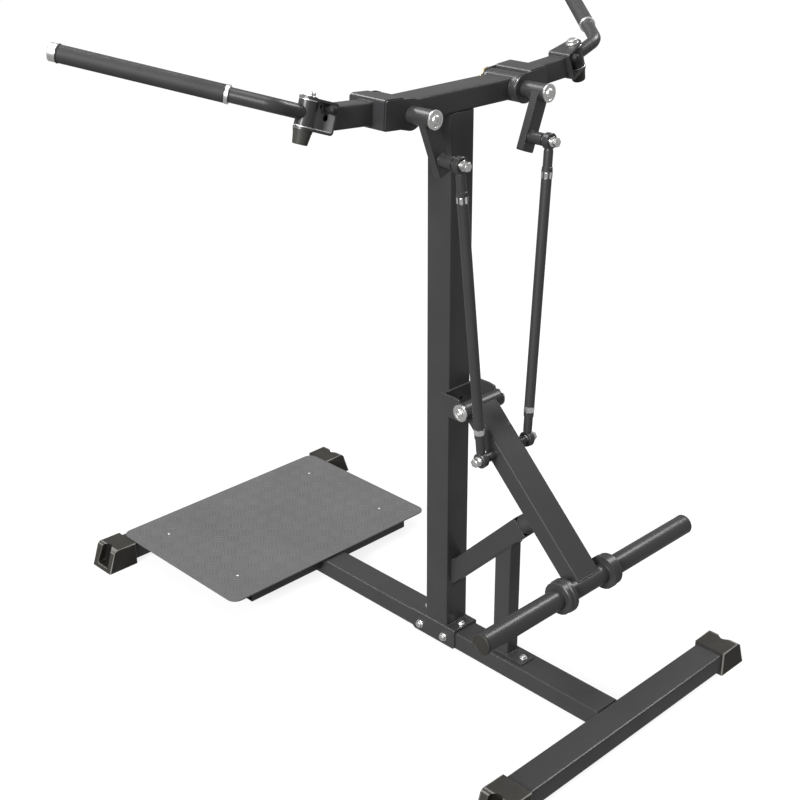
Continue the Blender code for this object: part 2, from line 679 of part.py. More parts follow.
for side in (-1, 1):
    lever_joins.append(mirrored(placed(boss, boss_origin, AXIS_Y, AXIS_Z, AXIS_X), side))
    lever_cuts.append(mirrored(placed(boss_hole, boss_origin, AXIS_Y, AXIS_Z, AXIS_X), side))
lever_past = sleeve_half + 0.02
cross_hole = prism([circle(sleeve_bore, 20)], -lever_past, lever_past)
lever_cuts.append(placed(cross_hole, lever_pivot, AXIS_Y, AXIS_Z, AXIS_X))
horn_hole = prism([circle(HORN_R + GAP, 24)], -lever_past, lever_past)
lever_cuts.append(placed(horn_hole, (0, HORN_Y, HORN_Z), AXIS_Y, AXIS_Z, AXIS_X))
lever_at = placed(lever_body, lever_origin, AXIS_X, lever_up, lever_down)
add_piece("lever_arm", "powder_coat", lever_at, lever_pivot, joins=lever_joins, cuts=lever_cuts)

# Weight horn: one tube through the lever with its stop collars, and a cap on each end
horn_left = -HORN_END_X["left"]
horn_right = HORN_END_X["right"]
horn_profile = [(HORN_BORE, horn_left), (HORN_R, horn_left)]
horn_profile += [(HORN_R, -LEFT_COLLAR_X[2]), (COLLAR_SMALL_R - 0.002, -LEFT_COLLAR_X[2])]
horn_profile += [(COLLAR_SMALL_R, -LEFT_COLLAR_X[2] + 0.002), (COLLAR_SMALL_R, -LEFT_COLLAR_X[1])]
horn_profile += [(COLLAR_BIG_R - 0.0015, -LEFT_COLLAR_X[1]), (COLLAR_BIG_R, -LEFT_COLLAR_X[1] + 0.0015)]
horn_profile += [(COLLAR_BIG_R, -LEFT_COLLAR_X[0]), (HORN_R, -LEFT_COLLAR_X[0])]
horn_profile += [(HORN_R, RIGHT_COLLAR_X[0]), (COLLAR_BIG_R, RIGHT_COLLAR_X[0])]
horn_profile += [(COLLAR_BIG_R, RIGHT_COLLAR_X[1] - 0.0015), (COLLAR_BIG_R - 0.0015, RIGHT_COLLAR_X[1])]
horn_profile += [(COLLAR_SMALL_R, RIGHT_COLLAR_X[1]), (COLLAR_SMALL_R, RIGHT_COLLAR_X[2] - 0.002)]
horn_profile += [(COLLAR_SMALL_R - 0.002, RIGHT_COLLAR_X[2]), (HORN_R, RIGHT_COLLAR_X[2])]
horn_profile += [(HORN_R, horn_right), (HORN_BORE, horn_right)]
horn_at = (0, HORN_Y, HORN_Z)
horn_body = placed(turned(horn_profile, 20), horn_at, AXIS_Y, AXIS_Z, AXIS_X)
add_piece("weight_horn", "powder_coat", horn_body, lever_pivot)
for hand, side in (("left", -1), ("right", 1)):
    plug = HORN_END_X[hand] - 0.018
    cap_start = HORN_END_X[hand] + GAP
    cap_end = cap_start + HORN_CAP_THICK
    cap_profile = [(0, plug), (HORN_BORE - GAP, plug), (HORN_BORE - GAP, cap_start), (HORN_CAP_R, cap_start)]
    cap_profile += [(HORN_CAP_R, cap_end - 0.002), (HORN_CAP_R - 0.0018, cap_end)]
    cap_profile += [(HORN_CAP_R - 0.0045, cap_end), (HORN_CAP_R - 0.0055, cap_end - 0.0013), (0, cap_end - 0.0013)]
    body = mirrored(placed(turned(cap_profile, 20), horn_at, AXIS_Y, AXIS_Z, AXIS_X), side)
    add_piece(hand + "_horn_cap", "moulded_rubber", body, lever_pivot)

# Link pins: each has a neck and a hexagon head outside its rod end, at these runs from its middle
head_low = LINK_NECK_RUN + 0.0010
head_flat = LINK_HEAD_R - 0.0018
head_profile = [(LINK_NECK_R, head_low), (head_flat, head_low), (head_flat, LINK_HEAD_RUN - 0.0016)]
head_profile += [(head_flat - 0.0024, LINK_HEAD_RUN - 0.0002), (0, LINK_HEAD_RUN)]
link_head = prism([circle(LINK_HEAD_R, 6)], LINK_NECK_RUN, LINK_HEAD_RUN - 0.0018)
pin_start = LEVER_WIDE / 2 + 0.007 - ROD_LOW_X
pin_profile = [(0, pin_start), (LINK_PIN_R, pin_start), (LINK_PIN_R, ball_half + GAP)]
pin_profile += [(LINK_NECK_R, ball_half + GAP)] + head_profile
ball_profile = [(LINK_PIN_R + GAP, -ball_half)]
for step in range(6):
    height = -ball_half + BALL_WIDE * step / 5
    ball_profile.append((math.sqrt(BALL_R**2 - height**2), height))
ball_profile.append((LINK_PIN_R + GAP, ball_half))

for hand, side in (("left", -1), ("right", 1)):
    low = Vector((ROD_LOW_X, ROD_LOW_Y, ROD_LOW_Z))
    high = Vector((ROD_HIGH_X, ROD_HIGH_Y, ROD_HIGH_Z))
    low_pivot = Vector((side * low.x, low.y, low.z))
    pin_body = placed(turned(pin_profile, 14), low, AXIS_Y, AXIS_Z, AXIS_X)
    pin_head = placed(link_head, low, AXIS_Y, AXIS_Z, AXIS_X)
    heads = (mirrored(pin_head, side),)
    add_piece(hand + "_lever_pin", "zinc", mirrored(pin_body, side), lever_pivot, heads)
    ball_body = placed(turned(ball_profile, 16), low, AXIS_Y, AXIS_Z, AXIS_X)
    add_piece(hand + "_rod_ball", "zinc", mirrored(ball_body, side), low_pivot)

    along = (high - low).normalized()
    length = (high - low).length
    ends = (("lower", low, AXIS_X, along), ("upper", high, AXIS_Y, -along))
    for level, centre, pin_axis, run in ends:
        ring_axis = (pin_axis - run * pin_axis.dot(run)).normalized()
        across = run.cross(ring_axis)
        half_eye = EYE_WIDE / 2
        ring_profile = [(EYE_BORE, -half_eye), (EYE_R - 0.0015, -half_eye), (EYE_R, -half_eye + 0.0015)]
        ring_profile += [(EYE_R, half_eye - 0.0015), (EYE_R - 0.0015, half_eye), (EYE_BORE, half_eye)]
        ring = placed(turned(ring_profile, 20), centre, across, run, ring_axis)
        nut_low = NUT_RUN
        stem_low = EYE_BORE + 0.0025
        stem_profile = [(0, stem_low), (SHANK_R - 0.0015, stem_low), (SHANK_R, EYE_R + 0.004)]
        stem_profile += [(SHANK_R, nut_low - NUT_COLLAR_HIGH)]
        stem_profile += [(NUT_COLLAR_R, nut_low - NUT_COLLAR_HIGH + 0.001)]
        stem_profile += [(NUT_COLLAR_R, nut_low), (NUT_IN_R, nut_low)]
        stem_profile += [(NUT_IN_R, nut_low + NUT_HIGH + 0.0005), (0, nut_low + NUT_HIGH + 0.0005)]
        stem = placed(turned(stem_profile, 14), centre, across, ring_axis, run)
        hexagon = prism([circle(NUT_R, 6)], nut_low - 0.0005, nut_low + NUT_HIGH)
        nut = placed(hexagon, centre, across, ring_axis, run)
        parts = (mirrored(stem, side), mirrored(nut, side))
        name = hand + "_" + level + "_rod_end"
        add_piece(name, "powder_coat", mirrored(ring, side), low_pivot, joins=parts)
    tube_low = NUT_RUN + NUT_HIGH + 0.0005 + GAP
    tube_profile = [(ROD_BORE, tube_low), (ROD_R, tube_low)]
    tube_profile += [(ROD_R, length - tube_low), (ROD_BORE, length - tube_low)]
    side_axis = (AXIS_X - along * along.x).normalized()
    rod_body = placed(turned(tube_profile, 18), low, side_axis, along.cross(side_axis), along)
    add_piece(hand + "_pull_rod", "powder_coat", mirrored(rod_body, side), low_pivot)

    spacer_back = high.y - CRANK_BOSS_FRONT_Y + OPEN_PIVOT_GAP
    up_profile = [(0, spacer_back), (LINK_SPACER_R, spacer_back), (LINK_SPACER_R, -ball_half)]
    for step in range(6):
        height = -ball_half + BALL_WIDE * step / 5
        up_profile.append((math.sqrt(BALL_R**2 - height**2), height))
    up_profile += [(LINK_NECK_R, ball_half + GAP)] + head_profile
    up_body = placed(turned(up_profile, 14), high, AXIS_X, AXIS_Z, -AXIS_Y)
    up_head = placed(link_head, high, AXIS_X, AXIS_Z, -AXIS_Y)
    name = hand + "_crank_pin"
    add_piece(name, "zinc", mirrored(up_body, side), low_pivot, joins=(mirrored(up_head, side),))

# Top beam, coped to the two bearing housings
beam_mid_z = BEAM_LOW_Z + BEAM_HIGH / 2
beam_body = prism(square_tube(UPRIGHT_WIDE, BEAM_HIGH), -SHAFT_X, SHAFT_X)
beam_cuts = []
for side in (-1, 1):
    cope = prism([circle(HOUSING_R + GAP, 28)], -0.06, 0.06)
    beam_cuts.append(placed(cope, (side * SHAFT_X, 0, SHAFT_Z), AXIS_X, AXIS_Z, AXIS_Y))
beam_at = placed(beam_body, (0, 0, beam_mid_z), AXIS_Y, AXIS_Z, AXIS_X)
add_piece("top_beam", "powder_coat", beam_at, cuts=beam_cuts)

# Arms
arm_out = Vector((math.cos(ARM_TILT), 0, math.sin(ARM_TILT)))
arm_up = Vector((-math.sin(ARM_TILT), 0, math.cos(ARM_TILT)))
shaft_at = Vector((SHAFT_X, 0, SHAFT_Z))
hinge_out = Vector((math.cos(BRACKET_LEAN), 0, math.sin(BRACKET_LEAN)))
hinge_up = Vector((-math.sin(BRACKET_LEAN), 0, math.cos(BRACKET_LEAN)))
web_at = Vector((BRACKET_MID_X, HINGE_Y, BRACKET_MID_Z))
hinge_at = web_at + hinge_out * HINGE_RUN
bar_down = Vector((-math.sin(CRANK_LEAN), 0, -math.cos(CRANK_LEAN)))
bar_side = Vector((math.cos(CRANK_LEAN), 0, -math.sin(CRANK_LEAN)))


def arm_end(x, y):
    """Run along the arm at which it meets the leaning web; x is across (Y), y is w."""
    on_arm = shaft_at + arm_up * (ARM_TUBE_W + y)
    return (web_at - on_arm).dot(hinge_out) / arm_out.dot(hinge_out) - GAP * 1.5


def lobe_plate(low_y, high_y):
    """The rounded plate that carries the shaft at one end of the yoke block, in the u, w plane."""
    outline = [(YOKE_OUT_U - 0.006, YOKE_LOW_W + 0.002), (YOKE_OUT_U - 0.002, YOKE_LOW_W + 0.006)]
    outline += [(YOKE_OUT_U - 0.002, YOKE_TOP_W - 0.006), (YOKE_OUT_U - 0.006, YOKE_TOP_W - 0.002)]
    outline += [(0.004, YOKE_LOBE_R)] + arc(0, 0, YOKE_LOBE_R, 96, 264, 11) + [(0.004, -YOKE_LOBE_R)]
    outline += [(YOKE_IN_U + 0.010, YOKE_LOW_W + 0.001)]
    hole = circle(SHAFT_R + GAP, 20)
    return placed(prism([outline, hole], low_y, high_y), shaft_at, arm_out, arm_up, AXIS_Y)


block_loops = [
    rectangle(YOKE_IN_U, YOKE_OUT_U, YOKE_LOW_W, YOKE_TOP_W, 0.007, 3),
    rectangle(YOKE_IN_U + WALL, YOKE_OUT_U - WALL, YOKE_LOW_W + WALL, YOKE_TOP_W - WALL, 0.004, 3),
]
yoke_body = placed(prism(block_loops, YOKE_FRONT_Y, YOKE_REAR_Y), shaft_at, arm_out, arm_up, AXIS_Y)
arm_loops = []
for loop in square_tube(ARM_TUBE, ARM_TUBE, WALL, 0.006):
    arm_loops.append(loop)
tube_body = prism(arm_loops, YOKE_OUT_U - 0.0015, arm_end)
tube_at = placed(tube_body, shaft_at + arm_up * ARM_TUBE_W, AXIS_Y, arm_up, arm_out)
yoke_joins = (
    lobe_plate(YOKE_FRONT_Y - YOKE_PLATE, YOKE_FRONT_Y + 0.0002),
    lobe_plate(YOKE_REAR_Y - 0.0002, YOKE_REAR_Y + YOKE_PLATE),
    tube_at,
)
yoke_cope = prism([circle(HOUSING_R + 0.0014, 28)], YOKE_FRONT_Y - 0.0001, YOKE_REAR_Y + 0.0001)
yoke_cuts = (placed(yoke_cope, shaft_at, arm_out, arm_up, AXIS_Y),)

thrust_low = YOKE_FRONT_Y + GAP
cap_back = CRANK_FRONT_Y - GAP
shaft_profile = [(0, cap_back - 0.0092), (0.0045, cap_back - 0.0088), (0.0095, cap_back - 0.0070)]
shaft_profile += [(0.0118, cap_back - 0.0042), (0.0200, cap_back - 0.0042)]
shaft_profile += [(CRANK_END_CAP_R, cap_back - 0.0034), (CRANK_END_CAP_R, cap_back)]
shaft_profile += [(SHAFT_R, cap_back), (SHAFT_R, thrust_low)]
thrust_high = HOUSING_FRONT_Y - GAP
shaft_profile += [(THRUST_R, thrust_low), (THRUST_R, thrust_high), (SHAFT_R, thrust_high)]
shaft_end = YOKE_REAR_Y + YOKE_PLATE + GAP + BRASS_THICK + 0.002
shaft_profile += [(SHAFT_R, shaft_end - 0.001), (SHAFT_R - 0.001, shaft_end), (0, shaft_end)]
crank_back = YOKE_FRONT_Y - YOKE_PLATE - GAP
sleeve_profile = [(CRANK_SLEEVE_R, CRANK_FRONT_Y + 0.001), (CRANK_SLEEVE_R, crank_back)]
sleeve_profile += [(SHAFT_R + GAP, crank_back), (SHAFT_R + GAP, CRANK_FRONT_Y)]
sleeve_profile += [(CRANK_SLEEVE_R - 0.001, CRANK_FRONT_Y)]
bar_outline = rectangle(-CRANK_BAR_WIDE / 2, CRANK_BAR_WIDE / 2, -0.001, CRANK_END_RUN, 0.004, 3)
bar_body = prism([bar_outline], CRANK_BAR_REAR_Y, CRANK_BAR_FRONT_Y)
boss_back = CRANK_BAR_FRONT_Y + 0.002
boss_profile = [(0, boss_back), (CRANK_BOSS_R, boss_back), (CRANK_BOSS_R, CRANK_BOSS_FRONT_Y + 0.001)]
boss_profile += [(CRANK_BOSS_R - 0.001, CRANK_BOSS_FRONT_Y), (0, CRANK_BOSS_FRONT_Y)]
boss_round = turned(boss_profile, 20)
shaft_bore = prism([circle(SHAFT_R + GAP, 20)], CRANK_FRONT_Y - 0.01, crank_back + 0.01)
brass_profile = [(SHAFT_R + GAP, YOKE_REAR_Y + YOKE_PLATE + GAP), (BRASS_R, YOKE_REAR_Y + YOKE_PLATE + GAP)]
brass_profile += [(BRASS_R, YOKE_REAR_Y + YOKE_PLATE + GAP + BRASS_THICK - 0.001)]
brass_profile += [(BRASS_R - 0.001, YOKE_REAR_Y + YOKE_PLATE + GAP + BRASS_THICK)]
brass_profile += [(SHAFT_R + GAP, YOKE_REAR_Y + YOKE_PLATE + GAP + BRASS_THICK)]
housing_profile = [(HOUSING_BORE, HOUSING_FRONT_Y), (HOUSING_R, HOUSING_FRONT_Y)]
housing_profile += [(HOUSING_R, HOUSING_REAR_Y), (HOUSING_BORE, HOUSING_REAR_Y)]
bush_profile = [(SHAFT_R + GAP, HOUSING_FRONT_Y + GAP), (HOUSING_BORE - GAP, HOUSING_FRONT_Y + GAP)]
bush_profile += [(HOUSING_BORE - GAP, HOUSING_REAR_Y - GAP), (SHAFT_R + GAP, HOUSING_REAR_Y - GAP)]

# Hinge bracket pieces in the n, y, h frame
flange_in = HINGE_HIGH / 2 - HINGE_FLANGE
fold_run = HINGE_RUN + HINGE_END_R + 0.004
folded = [(fold_run, -HINGE_HIGH / 2), (fold_run, -flange_in)]
folded += arc(HINGE_WEB + FOLD_R, -flange_in + FOLD_R, FOLD_R, 270, 180, 3)
folded += arc(HINGE_WEB + FOLD_R, flange_in - FOLD_R, FOLD_R, 180, 90, 3)
folded += [(fold_run, flange_in), (fold_run, HINGE_HIGH / 2)]
outer_fold = FOLD_R + HINGE_WEB
folded += arc(outer_fold, HINGE_HIGH / 2 - outer_fold, outer_fold, 90, 180, 4)
folded += arc(outer_fold, outer_fold - HINGE_HIGH / 2, outer_fold, 180, 270, 4)
web_body = placed(prism([folded], -HINGE_HALF_Y, HINGE_HALF_Y), web_at, hinge_out, hinge_up, AXIS_Y)
reach = math.hypot(HINGE_RUN - HINGE_WEB, HINGE_HALF_Y)
corner_way = 180 - math.degrees(math.atan2(HINGE_HALF_Y, HINGE_RUN - HINGE_WEB))
touch = corner_way - math.degrees(math.acos(HINGE_END_R / reach))
flange_loop = [(HINGE_WEB, -HINGE_HALF_Y)]
flange_loop += arc(HINGE_RUN, 0, HINGE_END_R, -touch, touch, 13)
flange_loop += [(HINGE_WEB, HINGE_HALF_Y)]
trim_run = HINGE_RUN + 0.06
spare = flange_loop + [(HINGE_WEB, 0.06), (trim_run, 0.06), (trim_run, -0.06), (HINGE_WEB, -0.06)]
flange_trim = prism([spare], -0.05, 0.05)
lug_low_n = PULL_N - PULL_LUG_WIDE / 2
lug_loop = [(lug_low_n, flange_in + 0.001), (lug_low_n, PULL_LUG_LOW_H + 0.004)]
lug_high_n = lug_low_n + PULL_LUG_WIDE
lug_loop += [(lug_low_n + 0.004, PULL_LUG_LOW_H), (lug_high_n, PULL_LUG_LOW_H)]
lug_loop += [(lug_high_n, flange_in + 0.001)]
lug_body = prism([lug_loop], PULL_LUG_Y, PULL_LUG_Y + PULL_LUG_THICK)
bracket_joins = (placed(lug_body, web_at, hinge_out, hinge_up, AXIS_Y),)
hinge_bore = prism([circle(HINGE_PIN_R + PIVOT_GAP, 16, (HINGE_RUN, 0))], -0.05, 0.05)
web_bore = prism([circle(WEB_HOLE_R, 16, (WEB_HOLE_Y, WEB_HOLE_H))], -0.003, HINGE_WEB + 0.003)
pull_bore = prism([circle(PULL_PIN_R + GAP, 16, (PULL_N, PULL_H))], PULL_LUG_Y - 0.003, PULL_LUG_Y + 0.008)
bracket_cuts = (
    placed(flange_trim, web_at, hinge_out, AXIS_Y, hinge_up),
    placed(hinge_bore, web_at, hinge_out, AXIS_Y, hinge_up),
    placed(web_bore, web_at, AXIS_Y, hinge_up, hinge_out),
    placed(pull_bore, web_at, hinge_out, hinge_up, AXIS_Y),
)
head_low = HINGE_HIGH / 2 + GAP
low_out = -HINGE_HIGH / 2 - GAP
bolt_end = low_out - KNOB_HIGH * 0.6
head_top = head_low + HINGE_HEAD_HIGH
pin_top = [(0, head_top), (0.0060, head_top), (0.0071, head_low + 0.0055)]
pin_top += [(0.0071, head_low), (HINGE_PIN_R, head_low), (HINGE_PIN_R, bolt_end), (0, bolt_end)]
head_hex = prism([circle(HINGE_HEAD_R, 6)], head_low, head_low + HINGE_HEAD_HIGH - 0.0006)
knob_top = low_out - HINGE_WASHER_THICK
knob_low = low_out - KNOB_HIGH
knob_profile = [(HINGE_PIN_R + GAP, low_out), (HINGE_WASHER_R, low_out), (HINGE_WASHER_R, knob_top)]
knob_profile += [(KNOB_TOP_R, knob_top), (KNOB_TOP_R, knob_top - 0.0025)]
knob_profile += [(KNOB_TOP_R - 0.0008, knob_top - 0.004)]
knob_profile += [(KNOB_LOW_R, knob_low + 0.0015), (KNOB_LOW_R - 0.0015, knob_low), (0, knob_low)]
knob_profile += [(0, bolt_end - GAP), (HINGE_PIN_R + GAP, bolt_end - GAP)]
plunger = [(0, PULL_LUG_Y + 0.016), (PULL_PIN_R - 0.001, PULL_LUG_Y + 0.016)]
plunger += [(PULL_PIN_R, PULL_LUG_Y + 0.014), (PULL_PIN_R, PULL_LUG_Y - 0.0075)]
plunger += [(0.0065, PULL_LUG_Y - 0.0080), (0.0070, PULL_LUG_Y - 0.0120)]
plunger += [(PULL_KNOB_R - 0.0010, PULL_LUG_Y - 0.0150), (PULL_KNOB_R, PULL_LUG_Y - 0.0190)]
plunger += [(PULL_KNOB_R - 0.0005, PULL_LUG_Y - 0.0255), (PULL_KNOB_R - 0.0025, PULL_LUG_Y - 0.0290)]
plunger += [(PULL_KNOB_R - 0.0055, PULL_LUG_Y - 0.0305), (0, PULL_LUG_Y - 0.0310)]

# Handle path in the plane square to the hinge axis
bend_run = ELBOW_RADIUS * math.tan(ELBOW_TURN / 2)
bend_at = (ELBOW_RUN - bend_run, ELBOW_RADIUS)
path = [(KNUCKLE_R - 0.006, 0)]
for x, y in arc(bend_at[0], bend_at[1], ELBOW_RADIUS, -90, -90 + math.degrees(ELBOW_TURN), 6):
    path.append((x, y))
grip_way = (math.cos(ELBOW_TURN), math.sin(ELBOW_TURN))
tube_end = RING_RUN + GRIP_RUN
path.append((ELBOW_RUN + grip_way[0] * tube_end, grip_way[1] * tube_end))
knuckle_half = flange_in - GAP
knuckle_profile = [(HINGE_PIN_R + PIVOT_GAP, -knuckle_half), (KNUCKLE_R - 0.001, -knuckle_half)]
knuckle_profile += [(KNUCKLE_R, -knuckle_half + 0.001), (KNUCKLE_R, knuckle_half - 0.001)]
knuckle_profile += [(KNUCKLE_R - 0.001, knuckle_half), (HINGE_PIN_R + PIVOT_GAP, knuckle_half)]
handle_body = placed(swept(path, HANDLE_R, HANDLE_BORE, 16), hinge_at, hinge_out, AXIS_Y, hinge_up)
handle_joins = (placed(turned(knuckle_profile, 20), hinge_at, hinge_out, AXIS_Y, hinge_up),)
grip_axis = hinge_out * grip_way[0] + AXIS_Y * grip_way[1]
elbow_at = hinge_at + hinge_out * ELBOW_RUN
grip_side = hinge_up.cross(grip_axis)
grip_profile = [(HANDLE_R + GAP, RING_RUN), (GRIP_R - 0.001, RING_RUN), (GRIP_R, RING_RUN + 0.001)]
grip_profile += [(GRIP_R, tube_end - 0.0005), (HANDLE_R + GAP, tube_end - 0.0005)]
end_start = tube_end + GAP
end_profile = [(0, tube_end - 0.012), (HANDLE_BORE - GAP, tube_end - 0.012), (HANDLE_BORE - GAP, end_start)]
end_profile += [(GRIP_END_R, end_start), (GRIP_END_R, end_start + GRIP_END_RUN - 0.0015)]
end_profile += [(GRIP_END_R - 0.0015, end_start + GRIP_END_RUN), (0.0090, end_start + GRIP_END_RUN)]
end_profile += [(0.0080, end_start + GRIP_END_RUN - 0.003), (0, end_start + GRIP_END_RUN - 0.003)]

for hand, side in (("left", -1), ("right", 1)):
    shaft_pivot = Vector((side * SHAFT_X, 0, SHAFT_Z))
    hinge_pivot = Vector((side * hinge_at.x, hinge_at.y, hinge_at.z))
    on_shaft = (shaft_at, AXIS_X, -AXIS_Z, AXIS_Y)
    on_hinge = (hinge_at, hinge_out, AXIS_Y, hinge_up)

    housing = mirrored(placed(turned(housing_profile, 28), *on_shaft), side)
    add_piece(hand + "_bearing_housing", "powder_coat", housing)
    bush = mirrored(placed(turned(bush_profile, 20), *on_shaft), side)
    add_piece(hand + "_shaft_bushing", "brass", bush)
    joins = all_mirrored(yoke_joins, side)
    cuts = all_mirrored(yoke_cuts, side)
    add_piece(hand + "_arm", "powder_coat", mirrored(yoke_body, side), shaft_pivot, joins, cuts)
    shaft = mirrored(placed(turned(shaft_profile, 20), *on_shaft), side)
    add_piece(hand + "_shaft", "zinc", shaft, shaft_pivot)
    sleeve_at = mirrored(placed(turned(sleeve_profile, 20), *on_shaft), side)
    bar_at = placed(bar_body, shaft_at, bar_side, bar_down, AXIS_Y)
    crank_pin_boss = placed(boss_round, shaft_at + bar_down * CRANK_PIN_RUN, bar_side, bar_down, AXIS_Y)
    bore_at = placed(shaft_bore, *on_shaft)
    joins = all_mirrored((bar_at, crank_pin_boss), side)
    add_piece(hand + "_crank", "powder_coat", sleeve_at, shaft_pivot, joins, (mirrored(bore_at, side),))
    brass = placed(turned(brass_profile, 24), *on_shaft)
    add_piece(hand + "_rear_washer", "brass", mirrored(brass, side), shaft_pivot)
    joins = all_mirrored(bracket_joins, side)
    cuts = all_mirrored(bracket_cuts, side)
    add_piece(hand + "_hinge_bracket", "powder_coat", mirrored(web_body, side), shaft_pivot, joins, cuts)
    bolt = mirrored(placed(turned(pin_top, 14), *on_hinge), side)
    head = mirrored(placed(head_hex, *on_hinge), side)
    add_piece(hand + "_hinge_bolt", "zinc", bolt, shaft_pivot, (head,))
    knob = mirrored(placed(turned(knob_profile, 18), *on_hinge), side)
    add_piece(hand + "_hinge_knob", "moulded_plastic", knob, shaft_pivot)
    pull_start = web_at + hinge_out * PULL_N + hinge_up * PULL_H
    pull = mirrored(placed(turned(plunger, 14), pull_start, hinge_out, -hinge_up, AXIS_Y), side)
    pull_pivot = Vector((side * pull_start.x, pull_start.y, pull_start.z))
    add_piece(hand + "_pull_pin", "moulded_plastic", pull, pull_pivot)
    handle = mirrored(handle_body, side)
    add_piece(hand + "_handle_tube", "powder_coat", handle, hinge_pivot, all_mirrored(handle_joins, side))
    grip = mirrored(placed(turned(grip_profile, 18), elbow_at, grip_side, hinge_up, grip_axis), side)
    add_piece(hand + "_grip", "grip_rubber", grip, hinge_pivot)
    end_cap = mirrored(placed(turned(end_profile, 18), elbow_at, grip_side, hinge_up, grip_axis), side)
    add_piece(hand + "_grip_end", "zinc", end_cap, hinge_pivot)
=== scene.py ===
import json
import math
import random

import bmesh
import bpy
from mathutils import Matrix, Vector


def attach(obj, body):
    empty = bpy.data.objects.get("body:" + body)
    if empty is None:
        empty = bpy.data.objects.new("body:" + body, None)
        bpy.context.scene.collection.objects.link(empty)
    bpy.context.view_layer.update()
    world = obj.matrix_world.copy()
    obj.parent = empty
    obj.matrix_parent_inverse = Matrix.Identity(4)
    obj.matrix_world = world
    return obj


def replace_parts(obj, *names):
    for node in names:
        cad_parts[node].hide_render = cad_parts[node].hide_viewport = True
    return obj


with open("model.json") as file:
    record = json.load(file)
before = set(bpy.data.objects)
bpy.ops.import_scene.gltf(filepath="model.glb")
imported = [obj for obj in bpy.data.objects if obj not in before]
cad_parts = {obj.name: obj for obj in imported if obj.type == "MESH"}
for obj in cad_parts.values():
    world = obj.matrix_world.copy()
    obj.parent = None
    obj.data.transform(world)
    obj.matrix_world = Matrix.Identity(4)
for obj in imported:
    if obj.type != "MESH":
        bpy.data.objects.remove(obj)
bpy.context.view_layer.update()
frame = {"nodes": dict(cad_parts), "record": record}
nodes = frame["nodes"]
scene = bpy.context.scene
random.seed(7)

# All measures are metres from the floor under the upright's middle, which stands this far towards -Y
uprightShift = 0.180
xAxis = Vector((1, 0, 0))
yAxis = Vector((0, 1, 0))
zAxis = Vector((0, 0, 1))
sides = (("left", -1), ("right", 1))


def framePoint(x, y, z):
    return Vector((x, y - uprightShift, z))


# Camera at the photograph's view
camera = {
    "place": (-2.229, -2.1285, 2.0928),
    "pitch": 24.52,
    "yaw": 45.866,
    "roll": -0.0064,  # radians, the other two are degrees
    "lens": 62.34,
    "sensor": 36.0,
}


def makeCamera():
    data = bpy.data.cameras.new("camera")
    data.lens = camera["lens"]
    data.sensor_width = camera["sensor"]
    obj = bpy.data.objects.new("camera", data)
    scene.collection.objects.link(obj)
    yaw = math.radians(camera["yaw"])
    pitch = math.radians(camera["pitch"])
    roll = camera["roll"]
    ahead = Vector((math.cos(yaw) * math.cos(pitch), math.sin(yaw) * math.cos(pitch), -math.sin(pitch)))
    right = ahead.cross(zAxis).normalized()
    top = right.cross(ahead)
    side = right * math.cos(roll) + top * math.sin(roll)
    head = top * math.cos(roll) - right * math.sin(roll)
    turn = Matrix((side, head, -ahead)).transposed()
    obj.matrix_world = Matrix.Translation(framePoint(*camera["place"])) @ turn.to_4x4()
    scene.camera = obj


makeCamera()
print("stage: camera")


# A shader socket that takes part in Python arithmetic
class Wire:
    def __init__(self, tree, socket):
        self.tree = tree
        self.socket = socket

    def math(self, operation, first, second):
        node = self.tree.nodes.new("ShaderNodeMath")
        node.operation = operation
        feed(self.tree, node.inputs[0], first)
        feed(self.tree, node.inputs[1], second)
        return Wire(self.tree, node.outputs[0])

    def __add__(self, other):
        return self.math("ADD", self, other)

    def __radd__(self, other):
        return self.math("ADD", other, self)

    def __mul__(self, other):
        return self.math("MULTIPLY", self, other)

    def __rmul__(self, other):
        return self.math("MULTIPLY", other, self)


def feed(tree, place, value):
    if isinstance(value, Wire):
        tree.links.new(value.socket, place)
    else:
        place.default_value = value


